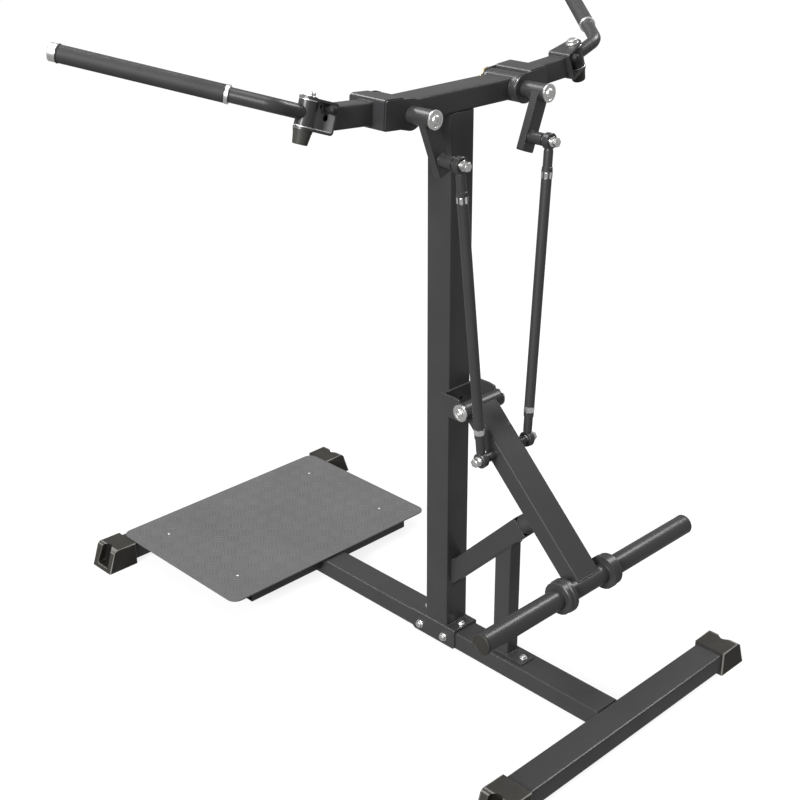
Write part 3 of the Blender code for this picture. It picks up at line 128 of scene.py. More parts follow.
# A material whose Principled shader is fed by wires
class Finish:
    def __init__(self, name, colour, roughness, metallic=0.0):
        self.material = bpy.data.materials.new(name)
        self.material.use_nodes = True
        self.tree = self.material.node_tree
        self.shader = self.tree.nodes["Principled BSDF"]
        self.shader.inputs["Metallic"].default_value = metallic
        self.shader.inputs["Roughness"].default_value = roughness
        self.shader.inputs["Base Color"].default_value = (*colour, 1)
        self.material.diffuse_color = (*colour, 1)
        self.place = self.wire(self.node("ShaderNodeTexCoord", {}, {}), "Object")

    def node(self, kind, settings, values):
        made = self.tree.nodes.new(kind)
        for key, value in settings.items():
            setattr(made, key, value)
        for key, value in values.items():
            feed(self.tree, made.inputs[key], value)
        return made

    def wire(self, node, output):
        return Wire(self.tree, node.outputs[output])

    def noise(self, scale, detail=2.0, stretch=None):
        place = self.place
        if stretch:
            moved = self.node("ShaderNodeMapping", {}, {"Vector": place, "Scale": stretch})
            place = self.wire(moved, "Vector")
        made = self.node("ShaderNodeTexNoise", {}, {"Vector": place, "Scale": scale, "Detail": detail})
        return self.wire(made, "Fac")

    def cells(self, scale):
        made = self.node("ShaderNodeTexVoronoi", {}, {"Vector": self.place, "Scale": scale})
        return self.wire(made, "Distance")

    def ramp(self, value, low, high, lowTo=0.0, highTo=1.0):
        values = {"Value": value, "From Min": low, "From Max": high, "To Min": lowTo, "To Max": highTo}
        return self.wire(self.node("ShaderNodeMapRange", {}, values), "Result")

    # A Mix node takes colours in sockets 6 and 7 and gives their mix in socket 2
    def mix(self, factor, first, second):
        first, second = (value if isinstance(value, Wire) else (*value, 1) for value in (first, second))
        made = self.node("ShaderNodeMix", {"data_type": "RGBA"}, {"Factor": factor, 6: first, 7: second})
        return self.wire(made, 2)

    def bump(self, height, distance, strength, under=None):
        values = {"Height": height, "Distance": distance, "Strength": strength}
        if under:
            values["Normal"] = under
        return self.wire(self.node("ShaderNodeBump", {}, values), "Normal")

    def set(self, **values):
        for key, value in values.items():
            feed(self.tree, self.shader.inputs[key.replace("_", " ")], value)
        return self.material


# Powder coat: clouds of shade, fine specks, and orange peel over slow waves
coatPattern = {
    "cloudDetail": 3.0,
    "cloudRange": (0.3, 0.7),
    "grainDetail": 2.0,
    "speckDetail": 1.0,
    "speckRange": (0.66, 0.76),
    "roughRange": (0.25, 0.75),
    "roughSwing": 0.05,
    "grainRough": 0.06,
    "peelBump": 0.6,
    "waveScale": 3,
    "waveDetail": 1.0,
    "waveBump": 0.3,
    "clearRough": 0.2,
}


def powderCoat(name, look):
    pattern = coatPattern
    finish = Finish(name, look["colour"], look["roughness"])
    cloud = finish.noise(look["cloudScale"], pattern["cloudDetail"])
    grain = finish.noise(look["grainScale"], pattern["grainDetail"])
    specks = finish.ramp(finish.noise(look["speckScale"], pattern["speckDetail"]), *pattern["speckRange"])
    base = finish.mix(finish.ramp(cloud, *pattern["cloudRange"]), look["dark"], look["colour"])
    base = finish.mix(specks * look["speckAmount"], base, look["speck"])
    rougher, smoother = look["roughness"] + pattern["roughSwing"], look["roughness"] - pattern["roughSwing"]
    roughness = finish.ramp(cloud, *pattern["roughRange"], rougher, smoother) + grain * pattern["grainRough"]
    peel = finish.bump(grain, look["grainDepth"], pattern["peelBump"])
    waves = finish.noise(look["cloudScale"] * pattern["waveScale"], pattern["waveDetail"])
    normal = finish.bump(waves, look["waveDepth"], pattern["waveBump"], peel)
    finish.set(Specular_IOR_Level=look["gloss"])
    finish.set(Coat_Weight=look["clear"], Coat_Roughness=pattern["clearRough"])
    return finish.set(Base_Color=base, Roughness=roughness, Normal=normal)


# Rubber and plastic: clouds of shade, patches of dust, and fine pits
rubberPattern = {
    "cloudDetail": 3.0,
    "cloudRange": (0.3, 0.7),
    "dustDetail": 4.0,
    "dustRange": (0.55, 0.8),
    "pitRange": (0.0, 0.8),
    "roughSwing": 0.06,
    "pitBump": 0.7,
}


def rubber(name, look):
    pattern = rubberPattern
    finish = Finish(name, look["colour"], look["roughness"])
    cloud = finish.noise(look["cloudScale"], pattern["cloudDetail"])
    pits = finish.cells(look["pitScale"])
    base = finish.mix(finish.ramp(cloud, *pattern["cloudRange"]), look["dark"], look["colour"])
    dust = finish.ramp(finish.noise(look["dustScale"], pattern["dustDetail"]), *pattern["dustRange"])
    base = finish.mix(dust * look["dustAmount"], base, look["dust"])
    smoother, rougher = look["roughness"] - pattern["roughSwing"], look["roughness"] + pattern["roughSwing"]
    roughness = finish.ramp(pits, *pattern["pitRange"], smoother, rougher)
    normal = finish.bump(pits, look["pitDepth"], pattern["pitBump"])
    return finish.set(Base_Color=base, Roughness=roughness, Normal=normal, Specular_IOR_Level=look["gloss"])


# Bare metal: clouds of shade and stretched tool lines
metalPattern = {
    "cloudDetail": 3.0,
    "cloudRange": (0.35, 0.7),
    "lineDetail": 2.0,
    "lineRange": (0.3, 0.7),
    "smoother": 0.06,
    "rougher": 0.08,
    "lineBump": 0.4,
}


def metal(name, look):
    pattern = metalPattern
    finish = Finish(name, look["colour"], look["roughness"], 1.0)
    cloud = finish.noise(look["cloudScale"], pattern["cloudDetail"])
    lines = finish.noise(look["lineScale"], pattern["lineDetail"], look["stretch"])
    base = finish.mix(finish.ramp(cloud, *pattern["cloudRange"]), look["dark"], look["colour"])
    smoother, rougher = look["roughness"] - pattern["smoother"], look["roughness"] + pattern["rougher"]
    roughness = finish.ramp(lines, *pattern["lineRange"], smoother, rougher)
    normal = finish.bump(lines, look["lineDepth"], pattern["lineBump"])
    return finish.set(Base_Color=base, Roughness=roughness, Normal=normal)


coatLook = {
    "colour": (0.026, 0.026, 0.027),
    "dark": (0.021, 0.021, 0.022),
    "speck": (0.060, 0.060, 0.062),
    "speckAmount": 0.4,
    "roughness": 0.39,
    "gloss": 0.30,
    "clear": 0.25,
    "cloudScale": 9.0,
    "grainScale": 900.0,
    "speckScale": 1400.0,
    "grainDepth": 0.00035,
    "waveDepth": 0.00012,
}
# Painted light: a lighter coat for faces lit by the key lamp, the hinge bracket's web and the washer under
# the hinge bolt
paintedLitLook = dict(
    coatLook,
    colour=(0.092, 0.092, 0.093),
    dark=(0.060, 0.060, 0.061),
    speck=(0.2, 0.2, 0.2),
    roughness=0.36,
)
plateLook = {
    "colour": (0.078, 0.078, 0.078),
    "dark": (0.068, 0.068, 0.068),
    "speck": (0.12, 0.12, 0.12),
    "speckAmount": 0.4,
    "roughness": 0.60,
    "gloss": 0.4,
    "clear": 0.0,
    "cloudScale": 7.0,
    "grainScale": 700.0,
    "speckScale": 900.0,
    "grainDepth": 0.0004,
    "waveDepth": 0.0003,
}
treadLook = dict(plateLook, colour=(0.0785, 0.0785, 0.078), roughness=0.59)
mouldedLook = {
    "colour": (0.022, 0.0205, 0.018),
    "dark": (0.016, 0.0150, 0.013),
    "dust": (0.060, 0.056, 0.048),
    "dustAmount": 0.22,
    "dustScale": 45.0,
    "roughness": 0.58,
    "gloss": 0.26,
    "cloudScale": 16.0,
    "pitScale": 1300.0,
    "pitDepth": 0.0002,
}
gripLook = dict(
    mouldedLook,
    colour=(0.024, 0.024, 0.025),
    dark=(0.019, 0.019, 0.020),
    roughness=0.6,
    gloss=0.34,
    dustAmount=0.08,
)
# Scuffing and painted highlight: a light rubber for the caps' rounded edges, partly real scuffs and partly
# painted highlight where the edges catch light
scuffAndHighlightLook = dict(
    mouldedLook,
    colour=(0.125, 0.120, 0.110),
    dark=(0.085, 0.081, 0.074),
    roughness=0.45,
    gloss=0.4,
)
# Painted shade: near-black rubber for the deep inside of the caps' scoop, standing for the shade there
paintedShadeLook = dict(
    mouldedLook,
    colour=(0.007, 0.0068, 0.006),
    dark=(0.005, 0.0048, 0.004),
    dustAmount=0.05,
    gloss=0.08,
)
pinLook = dict(
    mouldedLook,
    colour=(0.011, 0.011, 0.011),
    dark=(0.008, 0.008, 0.008),
    roughness=0.55,
    gloss=0.3,
    dustAmount=0.05,
)
bumperLook = dict(mouldedLook, colour=(0.034, 0.034, 0.034), dark=(0.028, 0.028, 0.028), roughness=0.5)
plasticLook = dict(mouldedLook, colour=(0.032, 0.0325, 0.029), dark=(0.025, 0.0255, 0.023), roughness=0.44)
zincLook = {
    "colour": (0.88, 0.88, 0.86),
    "dark": (0.72, 0.72, 0.71),
    "roughness": 0.30,
    "cloudScale": 90.0,
    "lineScale": 240.0,
    "stretch": (1.0, 1.0, 6.0),
    "lineDepth": 0.00004,
}
aluminiumLook = dict(
    zincLook,
    colour=(0.92, 0.92, 0.91),
    dark=(0.80, 0.80, 0.79),
    roughness=0.33,
    lineScale=420.0,
)
bronzeLook = dict(zincLook, colour=(0.88, 0.68, 0.30), dark=(0.72, 0.54, 0.22), roughness=0.3)

finishes = {
    "powder_coat": powderCoat("satin_powder_coat", coatLook),
    "painted_lit_coat": powderCoat("painted_lit_powder_coat", paintedLitLook),
    "platform_grey": powderCoat("platform_powder_coat", plateLook),
    "tread": powderCoat("worn_tread", treadLook),
    "moulded_rubber": rubber("moulded_rubber", mouldedLook),
    "grip_rubber": rubber("grip_rubber", gripLook),
    "bumper": rubber("bumper_rubber", bumperLook),
    "scuff_and_highlight_edge": rubber("scuff_and_highlight_edge", scuffAndHighlightLook),
    "painted_shade": rubber("painted_shade_rubber", paintedShadeLook),
    "pin_knob": rubber("pin_knob_plastic", pinLook),
    "moulded_plastic": rubber("moulded_plastic", plasticLook),
    "zinc": metal("zinc_plate", zincLook),
    "aluminium": metal("polished_aluminium", aluminiumLook),
    "brass": metal("bearing_bronze", bronzeLook),
}
print("stage: materials")


# Mesh helpers
def addMesh(name, shape, finish, body, smooth=38.0):
    mesh = bpy.data.meshes.new(name)
    bmesh.ops.recalc_face_normals(shape, faces=shape.faces)
    shape.to_mesh(mesh)
    shape.free()
    for polygon in mesh.polygons:
        polygon.use_smooth = True
    mesh.set_sharp_from_angle(angle=math.radians(smooth))
    obj = bpy.data.objects.new(name, mesh)
    scene.collection.objects.link(obj)
    mesh.materials.append(finishes[finish])
    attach(obj, body)
    return obj


def evenNormals(obj):
    weighted = obj.modifiers.new("even_normals", "WEIGHTED_NORMAL")
    weighted.keep_sharp = True


def flipX(vector, side):
    return Vector((side * vector.x, vector.y, vector.z))


def frameOf(axis):
    axis = Vector(axis).normalized()
    guide = xAxis if abs(axis.x) < 0.9 else yAxis
    first = guide.cross(axis).normalized()
    return first, axis.cross(first), axis


def pairsOf(rows, closed):
    return list(zip(rows, rows[1:] + rows[:1] if closed else rows[1:]))


def circleInto(shape, centre, first, second, radius, steps, turn=0.0):
    row = []
    for i in range(steps):
        angle = turn + 2 * math.pi * i / steps
        row.append(shape.verts.new(centre + (first * math.cos(angle) + second * math.sin(angle)) * radius))
    return row


# Joins two rings of as many points; at a pole, where a ring is one point, its faces are triangles
def wallInto(shape, low, high):
    for i in range(len(low)):
        j = (i + 1) % len(low)
        corners = tuple(dict.fromkeys((low[i], low[j], high[j], high[i])))
        if len(corners) > 2:
            shape.faces.new(corners)


# A body of revolution from (radius, height) pairs; a profile off the axis closes on itself
def latheInto(shape, profile, steps, origin, axis, turn=0.0):
    first, second, along = frameOf(axis)
    rows = []
    for radius, height in profile:
        centre = Vector(origin) + along * height
        if radius == 0:
            rows.append([shape.verts.new(centre)] * steps)
        else:
            rows.append(circleInto(shape, centre, first, second, radius, steps, turn))
    for low, high in pairsOf(rows, profile[0][0] != 0):
        wallInto(shape, low, high)


# A washer or collar with eased edges
def ringInto(shape, inner, outer, low, high, origin, axis, steps=36, ease=0.0003):
    profile = [(inner, low), (outer - ease, low), (outer, low + ease), (outer, high - ease)]
    profile += [(outer - ease, high), (inner, high)]
    latheInto(shape, profile, steps, origin, axis)


# A weld bead: a rippled tube along a path of straight runs, thinner at its free ends
ripple = {"pitch": 0.0024, "sides": 6, "valley": 0.84, "crest": 0.16, "jitter": 0.05, "tip": 0.35}


def beadInto(shape, points, radius, closed=False):
    path = []
    for start, end in pairsOf(points, closed):
        count = max(1, round((end - start).length / ripple["pitch"]))
        path += [start.lerp(end, k / count) for k in range(count)]
    if not closed:
        path.append(points[-1])
    rings = []
    last = len(path) - 1
    for k, place in enumerate(path):
        before = path[k - 1] if closed or k else place
        after = path[(k + 1) % len(path)] if closed or k < last else place
        first, second, _ = frameOf(after - before)
        jitter = random.uniform(-ripple["jitter"], ripple["jitter"])
        swell = radius * (ripple["valley"] + ripple["crest"] * (k % 2) + jitter)
        if not closed and k in (0, last):
            swell *= ripple["tip"]
        rings.append(circleInto(shape, place, first, second, swell, ripple["sides"]))
    for low, high in pairsOf(rings, closed):
        wallInto(shape, low, matchedRing(low, high))
    if not closed:
        shape.faces.new(rings[0])
        shape.faces.new(rings[-1][::-1])


# A ring's frame can flip where the path turns, so the next ring starts at its nearest point and turns alike
def matchedRing(low, high):
    count = len(high)
    start = min(range(count), key=lambda k: (high[k].co - low[0].co).length)
    ahead = (high[(start + 1) % count].co - low[1].co).length
    back = (high[start - 1].co - low[1].co).length
    way = 1 if ahead < back else -1
    return [high[(start + way * k) % count] for k in range(count)]


# A washer under a hexagon head with a domed crown; the shares are of the head's height and its flats
boltHead = {"hexHigh": 0.74, "sink": 0.001, "crown": ((0.99, 0.76), (0.90, 0.88), (0.62, 0.97)), "steps": 28}


def boltInto(shape, origin, axis, look, turn):
    wide, high, seat = look["head"], look["high"], look["thick"]
    ringInto(shape, look["bore"], look["washer"], 0.0, seat, origin, axis)
    hexTop = seat + high * boltHead["hexHigh"]
    latheInto(shape, [(0.0, seat), (wide, seat), (wide, hexTop), (0.0, hexTop)], 6, origin, axis, turn)
    flat = wide * math.cos(math.pi / 6)
    foot = seat + boltHead["sink"]
    crown = [(0.0, foot), (flat * boltHead["crown"][0][0], foot)]
    crown += [(flat * across, seat + high * up) for across, up in boltHead["crown"]]
    latheInto(shape, crown + [(0.0, seat + high)], boltHead["steps"], origin, axis)


# Every CAD node but those with shapes of their own gets a skin: its own mesh with merged flats and rounded
# edges
bevelOf = {
    "powder_coat": 0.0009,
    "platform_grey": 0.0006,
    "moulded_rubber": 0.0007,
    "grip_rubber": 0.0008,
    "moulded_plastic": 0.0006,
    "zinc": 0.0003,
    "brass": 0.0004,
}
clean = {"merge": 2e-5, "collapse": 1e-5, "flat": math.radians(0.8)}
slotOf = {entry["node"]: entry["material_slot"] for entry in frame["record"]["subparts"]}
bodyOf = {}
for bodyName, members in frame["record"]["behaviour"]["bodies"].items():
    for member in members:
        bodyOf[member] = bodyName


def bevelEdges(shape, edges, width, steps, index=-1, clamp=False):
    kind = dict(offset_type="OFFSET", segments=steps, profile=0.5, affect="EDGES")
    bmesh.ops.bevel(shape, geom=edges, offset=width, material=index, clamp_overlap=clamp, **kind)


def roundEdges(shape, width, over=34, steps=2, index=-1):
    limit = math.radians(over)
    rims = [edge for edge in shape.edges if len(edge.link_faces) == 2 and edge.calc_face_angle(0) > limit]
    bevelEdges(shape, rims, width, steps, index, clamp=True)


def skinOf(name, width):
    shape = bmesh.new()
    shape.from_mesh(nodes[name].data)
    bmesh.ops.remove_doubles(shape, verts=shape.verts, dist=clean["merge"])
    bmesh.ops.dissolve_degenerate(shape, dist=clean["collapse"], edges=shape.edges)
    bmesh.ops.dissolve_limit(shape, angle_limit=clean["flat"], verts=shape.verts, edges=shape.edges)
    roundEdges(shape, width)
    skin = addMesh(name + "_skin", shape, slotOf[name], bodyOf[name])
    evenNormals(skin)
    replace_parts(skin, name)
    return skin


ownShape = [name for name in nodes if name.endswith(("foot_cap", "_shaft")) or name == "lever_pivot_bolt"]
skinned = {name: skinOf(name, bevelOf[slotOf[name]]) for name in nodes if name not in ownShape}
skinned["stop_bumper"].data.materials[0] = finishes["bumper"]
for hand, side in sides:
    skinned[hand + "_pull_pin"].data.materials[0] = finishes["pin_knob"]
print("stage: skins")

# Foot caps: moulded shoes with an arched scoop that breaks into the top edge
cap = {
    "inner": 0.3665,
    "outer": 0.4615,
    "topOuter": 0.4365,
    "half": 0.04375,
    "high": 0.0660,
    "shoulder": 0.015,
    "shoulderSteps": 8,
    "edge": 0.0030,
    "edgeSteps": 4,
    "edgeFrom": 0.001,
    # each station of the scoop: distance out, half width, floor, height where the arch springs, its crown
    "scoop": (
        (0.4850, 0.0270, 0.0090, 0.0600, 0.0900),
        (0.4540, 0.0258, 0.0100, 0.0590, 0.0860),
        (0.4460, 0.0245, 0.0110, 0.0580, 0.0835),
        (0.4400, 0.0232, 0.0120, 0.0560, 0.0800),
        (0.4340, 0.0215, 0.0150, 0.0530, 0.0760),
        (0.4290, 0.0190, 0.0300, 0.0520, 0.0725),
        (0.4264, 0.0165, 0.0480, 0.0550, 0.0700),
        (0.4262, 0.0150, 0.0612, 0.0630, 0.0675),
        (0.4240, 0.0110, 0.0622, 0.0640, 0.0670),
        (0.4222, 0.0060, 0.0638, 0.0650, 0.0664),
        (0.4210, 0.0030, 0.0652, 0.0656, 0.0662),
    ),
    "scoopEase": 0.004,
    "archSteps": 20,
    "lip": 0.0026,
    "lipOver": 38,
    "lipSteps": 3,
    "rimFrom": 0.0004,
    "rimTo": 0.0034,
    "paintedShadeHalf": 0.0272,
    # bounds of the scoop faces that take the painted shade
    "paintedShadeX": 0.0545,
    "levelOver": 0.95,
    "levelDrop": 0.001,
    "smooth": 44,
    "crossY": {"front": -0.571, "rear": 0.931},
}
# shoe rubber, light edge rubber (scuffing and painted highlight), and painted shade for the deep scoop
capFinishes = ("moulded_rubber", "scuff_and_highlight_edge", "painted_shade")
scuffAndHighlightIndex = capFinishes.index("scuff_and_highlight_edge")
paintedShadeIndex = capFinishes.index("painted_shade")
# The crossbar's end, which each cap takes in with a little clearance
socket = {
    "wide": 0.076,
    "low": 0.010,
    "high": 0.060,
    "start": -0.01,
    "end": 0.424,
    "gap": 0.0003,
    "corner": 0.006,
    "cornerSteps": 4,
}


# The sloping face's angle, and the way that the face looks
def capSlope():
    slope = math.atan2(cap["high"], cap["outer"] - cap["topOuter"])
    return slope, Vector((math.sin(slope), 0, math.cos(slope)))


def capSolid():
    run = cap["outer"] - cap["inner"]
    slope, away = capSlope()
    radius, steps = cap["shoulder"], cap["shoulderSteps"]
    centreZ = cap["high"] - radius
    centreX = run - (radius + centreZ * away.z) / away.x
    outline = [(0.0, 0.0), (run, 0.0)]
    for i in range(steps + 1):
        angle = math.radians(90) - slope + slope * i / steps
        outline.append((centreX + radius * math.cos(angle), centreZ + radius * math.sin(angle)))
    outline.append((0.0, cap["high"]))
    shape = bmesh.new()
    rows = [[shape.verts.new((x, y, z)) for x, z in outline] for y in (-cap["half"], cap["half"])]
    wallInto(shape, *rows)
    shape.faces.new(rows[0])
    shape.faces.new(rows[1])
    rims = [edge for edge in shape.edges if abs(edge.verts[0].co.y - edge.verts[1].co.y) < clean["collapse"]]
    rims = [edge for edge in rims if max(v.co.z for v in edge.verts) > cap["edgeFrom"]]
    # the rounded rims take the light edge rubber: scuffing and painted highlight
    bevelEdges(shape, rims, cap["edge"], cap["edgeSteps"], scuffAndHighlightIndex)
    bmesh.ops.recalc_face_normals(shape, faces=shape.faces)
    return shape


def scoopCutter():
    shape = bmesh.new()
    arch = [math.pi * i / cap["archSteps"] for i in range(1, cap["archSteps"])]
    rings = []
    for x, half, low, spring, top in cap["scoop"]:
        ease = min(cap["scoopEase"], (spring - low) / 2)
        loop = [(half, low + ease), (half, spring)]
        loop += [(half * math.cos(angle), spring + (top - spring) * math.sin(angle)) for angle in arch]
        loop += [(-half, spring), (-half, low + ease), (-half + ease, low), (half - ease, low)]
        rings.append([shape.verts.new((x - cap["inner"], across, z)) for across, z in loop])
    for near, far in pairsOf(rings, False):
        wallInto(shape, near, far)
    shape.faces.new(rings[0])
    shape.faces.new(rings[-1])
    bmesh.ops.recalc_face_normals(shape, faces=shape.faces)
    return shape


def socketCutter():
    shape = bmesh.new()
    gap = socket["gap"]
    half = socket["wide"] / 2 + gap
    low, high = socket["low"] - gap, socket["high"] + gap
    end = socket["end"] + gap - cap["inner"]
    loop = ((-half, low), (half, low), (half, high), (-half, high))
    rows = [[shape.verts.new((x, y, z)) for y, z in loop] for x in (socket["start"], end)]
    wallInto(shape, *rows)
    shape.faces.new(rows[0])
    shape.faces.new(rows[1])
    lengthwise = [edge for edge in shape.edges if abs(edge.verts[0].co.x - edge.verts[1].co.x) > gap]
    bevelEdges(shape, lengthwise, socket["corner"], socket["cornerSteps"])
    bmesh.ops.recalc_face_normals(shape, faces=shape.faces)
    return shape


def looseObject(name, shape):
    mesh = bpy.data.meshes.new(name)
    shape.to_mesh(mesh)
    shape.free()
    obj = bpy.data.objects.new(name, mesh)
    scene.collection.objects.link(obj)
    return obj


def cutShape(base, cutters):
    solid = looseObject("cap_blank", base)
    tools = []
    for k, cutter in enumerate(cutters):
        tool = looseObject("cap_cutter" + str(k), cutter)
        step = solid.modifiers.new("cut" + str(k), "BOOLEAN")
        step.operation = "DIFFERENCE"
        step.solver = "EXACT"
        step.object = tool
        tools.append(tool)
    bpy.context.view_layer.update()
    result = bmesh.new()
    done = bpy.data.meshes.new_from_object(solid.evaluated_get(bpy.context.evaluated_depsgraph_get()))
    result.from_mesh(done)
    for obj in [solid] + tools:
        bpy.data.objects.remove(obj)
    return result


# The scoop's walls are lighter down to the rim's depth below the sloping face (scuffing and painted
# highlight), and painted shade further in: near-black rubber standing for the shade in the deep scoop
def paintScoop(shape):
    away = capSlope()[1]
    face = Vector((cap["outer"] - cap["inner"], 0, 0))
    every = shape.verts[:] + shape.edges[:] + shape.faces[:]
    depthLine = face - away * cap["rimTo"]
    bmesh.ops.bisect_plane(shape, geom=every, dist=clean["collapse"], plane_co=depthLine, plane_no=away)
    for polygon in shape.faces:
        middle = polygon.calc_center_median()
        depth = (face - middle).dot(away)
        level = abs(polygon.normal.z) > cap["levelOver"] and middle.z > cap["high"] - cap["levelDrop"]
        inside = abs(middle.y) < cap["paintedShadeHalf"] and middle.x > cap["paintedShadeX"]
        if depth > cap["rimFrom"] and inside and not level:
            # deeper faces take the painted shade, the band at the rim takes scuffing and painted highlight
            polygon.material_index = paintedShadeIndex if depth > cap["rimTo"] else scuffAndHighlightIndex


def makeFootCaps():
    shape = cutShape(capSolid(), (scoopCutter(), socketCutter()))
    bmesh.ops.remove_doubles(shape, verts=shape.verts, dist=clean["merge"])
    bmesh.ops.dissolve_limit(shape, angle_limit=clean["flat"], verts=shape.verts, edges=shape.edges)
    paintScoop(shape)
    # the rounded rims again take the light edge rubber: scuffing and painted highlight
    roundEdges(shape, cap["lip"], cap["lipOver"], cap["lipSteps"], scuffAndHighlightIndex)
    blank = bpy.data.meshes.new("cap_shape")
    shape.to_mesh(blank)
    shape.free()
    for end, crossY in cap["crossY"].items():
        for hand, side in sides:
            name = end + "_" + hand + "_foot_cap"
            copy = bmesh.new()
            copy.from_mesh(blank)
            for vertex in copy.verts:
                vertex.co = flipX(framePoint(cap["inner"], crossY, 0) + vertex.co, side)
            shoe = addMesh(name + "_shoe", copy, capFinishes[0], bodyOf[name], cap["smooth"])
            for finish in capFinishes[1:]:
                shoe.data.materials.append(finishes[finish])
            evenNormals(shoe)
            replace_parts(shoe, name)


makeFootCaps()
print("stage: foot caps")

# Platform: tread bars in groups of four, turned a quarter from one group to the next
tread = {
    "halfX": 0.363,
    "lowY": 0.436,
    "highY": 0.961,
    "corner": 0.027,
    "top": 0.068,
    "pitch": 0.05285,
    "originX": 0.0023,
    "originY": 0.0208,
    "columns": (-17, 18),
    "rows": (8, 48),
    "perGroup": 4,
    "halfLong": 0.0148,
    "halfWide": 0.0019,
    "high": 0.00042,
    "sink": 0.0002,
    "taper": 1.6,
    "samples": 24,
    "fewest": 7,
    "margin": 0.004,
    "smooth": 60,
}
# A bar's outline from end to end in shares of its half length and half width, and its share at each height
barOutline = ((-1, 0), (-0.84, -0.7), (-0.45, -1), (0.45, -1), (0.84, -0.7))
barOutline += tuple((-a, -b) for a, b in barOutline)
barLayers = ((1.0, -tread["sink"]), (0.80, 0.6 * tread["high"]), (0.42, tread["high"]))


def insidePlate(x, y):
    edgeX = tread["halfX"] - tread["margin"]
    low, high = tread["lowY"] + tread["margin"], tread["highY"] - tread["margin"]
    if abs(x) > edgeX or not low < y < high:
        return False
    corner = tread["corner"] - tread["margin"]
    offX = abs(x) - (edgeX - corner)
    offY = abs(y - (low + high) / 2) - ((high - low) / 2 - corner)
    return not (offX > 0 and offY > 0 and math.hypot(offX, offY) > corner)


# One bar, cut short where it would cross the plate's edge
def treadBar(shape, x, y, way):
    shares = [k / tread["samples"] - 0.5 for k in range(tread["samples"] + 1)]
    spots = [share * 2 * tread["halfLong"] for share in shares]
    held = [s for s in spots if insidePlate(x + way.x * s, y + way.y * s)]
    if len(held) < tread["fewest"]:
        return
    side = Vector((-way.y, way.x, 0))
    middle = framePoint(x, y, tread["top"]) + way * ((held[0] + held[-1]) / 2)
    reach = (held[-1] - held[0]) / 2
    rings = []
    for grow, height in barLayers:
        wide = tread["halfWide"] * grow
        end = reach - (1 - grow) * tread["halfWide"] * tread["taper"]
        corners = [middle + way * (a * end) + side * (b * wide) + zAxis * height for a, b in barOutline]
        rings.append([shape.verts.new(corner) for corner in corners])
    for low, high in pairsOf(rings, False):
        wallInto(shape, low, high)
    shape.faces.new(rings[-1])
    shape.faces.new(rings[0][::-1])


def makeTread():
    shape = bmesh.new()
    pitch, count = tread["pitch"], tread["perGroup"]
    gap = pitch / math.sqrt(2) / count
    ways = (Vector((1, 1, 0)).normalized(), Vector((1, -1, 0)).normalized())
    for i in range(*tread["columns"]):
        for j in range(*tread["rows"]):
            if (i + j) % 2:
                continue
            way = ways[i % 2]
            side = Vector((-way.y, way.x, 0))
            centreX = tread["originX"] + pitch * i / 2
            centreY = tread["originY"] + pitch * j / 2
            for k in range(count):
                off = side * (gap * (k - (count - 1) / 2))
                treadBar(shape, centreX + off.x, centreY + off.y, way)
    addMesh("platform_tread", shape, "tread", "frame", tread["smooth"])


# Domed screws through the platform
plateScrew = {
    "x": 0.2695,
    "ys": (0.539, 0.861),
    "radius": 0.0036,
    "high": 0.0016,
    "sink": 0.0004,
    "dome": ((1.0, 0.35), (0.85, 0.7), (0.5, 0.95)),
    "steps": 24,
}


def makeScrews():
    shape = bmesh.new()
    r, h, sink = plateScrew["radius"], plateScrew["high"], plateScrew["sink"]
    profile = [(0.0, -sink), (r, -sink)] + [(r * a, h * b) for a, b in plateScrew["dome"]] + [(0.0, h)]
    for x in (-plateScrew["x"], plateScrew["x"]):
        for y in plateScrew["ys"]:
            latheInto(shape, profile, plateScrew["steps"], framePoint(x, y, tread["top"]), zAxis)
    addMesh("platform_screws", shape, "aluminium", "frame")


makeTread()
makeScrews()
print("stage: platform")

# Bolts of the saddle and of the stop post's foot plate
sideBolt = {"washer": 0.0115, "bore": 0.005, "head": 0.0098, "high": 0.0078, "thick": 0.0018}
topBolt = {"washer": 0.0098, "bore": 0.004, "head": 0.0075, "high": 0.0060, "thick": 0.0016}
baseBolts = {
    "sideX": 0.042,
    "sideZ": 0.033,
    "sideYs": (-0.031, 0.055),
    "sideTurn": (0.3, 9),  # radians, and how many more for each metre of Y
    "topRows": ((0.066, (-0.0545, 0.064), 0.5), (0.0641, (-0.2688, -0.1470), 0.2)),  # height, Ys, radians
    "smooth": 30,
}


def makeBaseBolts():
    shape = bmesh.new()
    first, more = baseBolts["sideTurn"]
    for _, side in sides:
        for y in baseBolts["sideYs"]:
            place = framePoint(side * baseBolts["sideX"], y, baseBolts["sideZ"])
            boltInto(shape, place, xAxis * side, sideBolt, first + y * more)
    addMesh("saddle_side_bolts", shape, "zinc", "frame", baseBolts["smooth"])
    shape = bmesh.new()
    for z, ys, turn in baseBolts["topRows"]:
        for y in ys:
            boltInto(shape, framePoint(0, y, z), zAxis, topBolt, turn)
    addMesh("base_top_bolts", shape, "zinc", "frame", baseBolts["smooth"])


makeBaseBolts()
print("stage: base bolts")

# Shaft ends and the lever's pivot bolt: a rimmed disc with a button head in it
shaft = {
    "x": 0.1825,
    "z": 1.427,
    "front": -0.1283,
    "end": 0.0608,
    "radius": 0.0125,
    "discR": 0.0213,
    "button": 0.0090,
    "thrustR": 0.031,
    "thrustLow": 0.0523,
    "thrustHigh": 0.0561,
    "ease": 0.0004,
    "chamfer": 0.001,
    "steps": 40,
}
pivot = {
    "y": -0.1035,
    "z": 0.7075,
    "radius": 0.008,
    "washerIn": 0.0653,
    "discR": 0.0212,
    "button": 0.0084,
    "steps": 40,
}
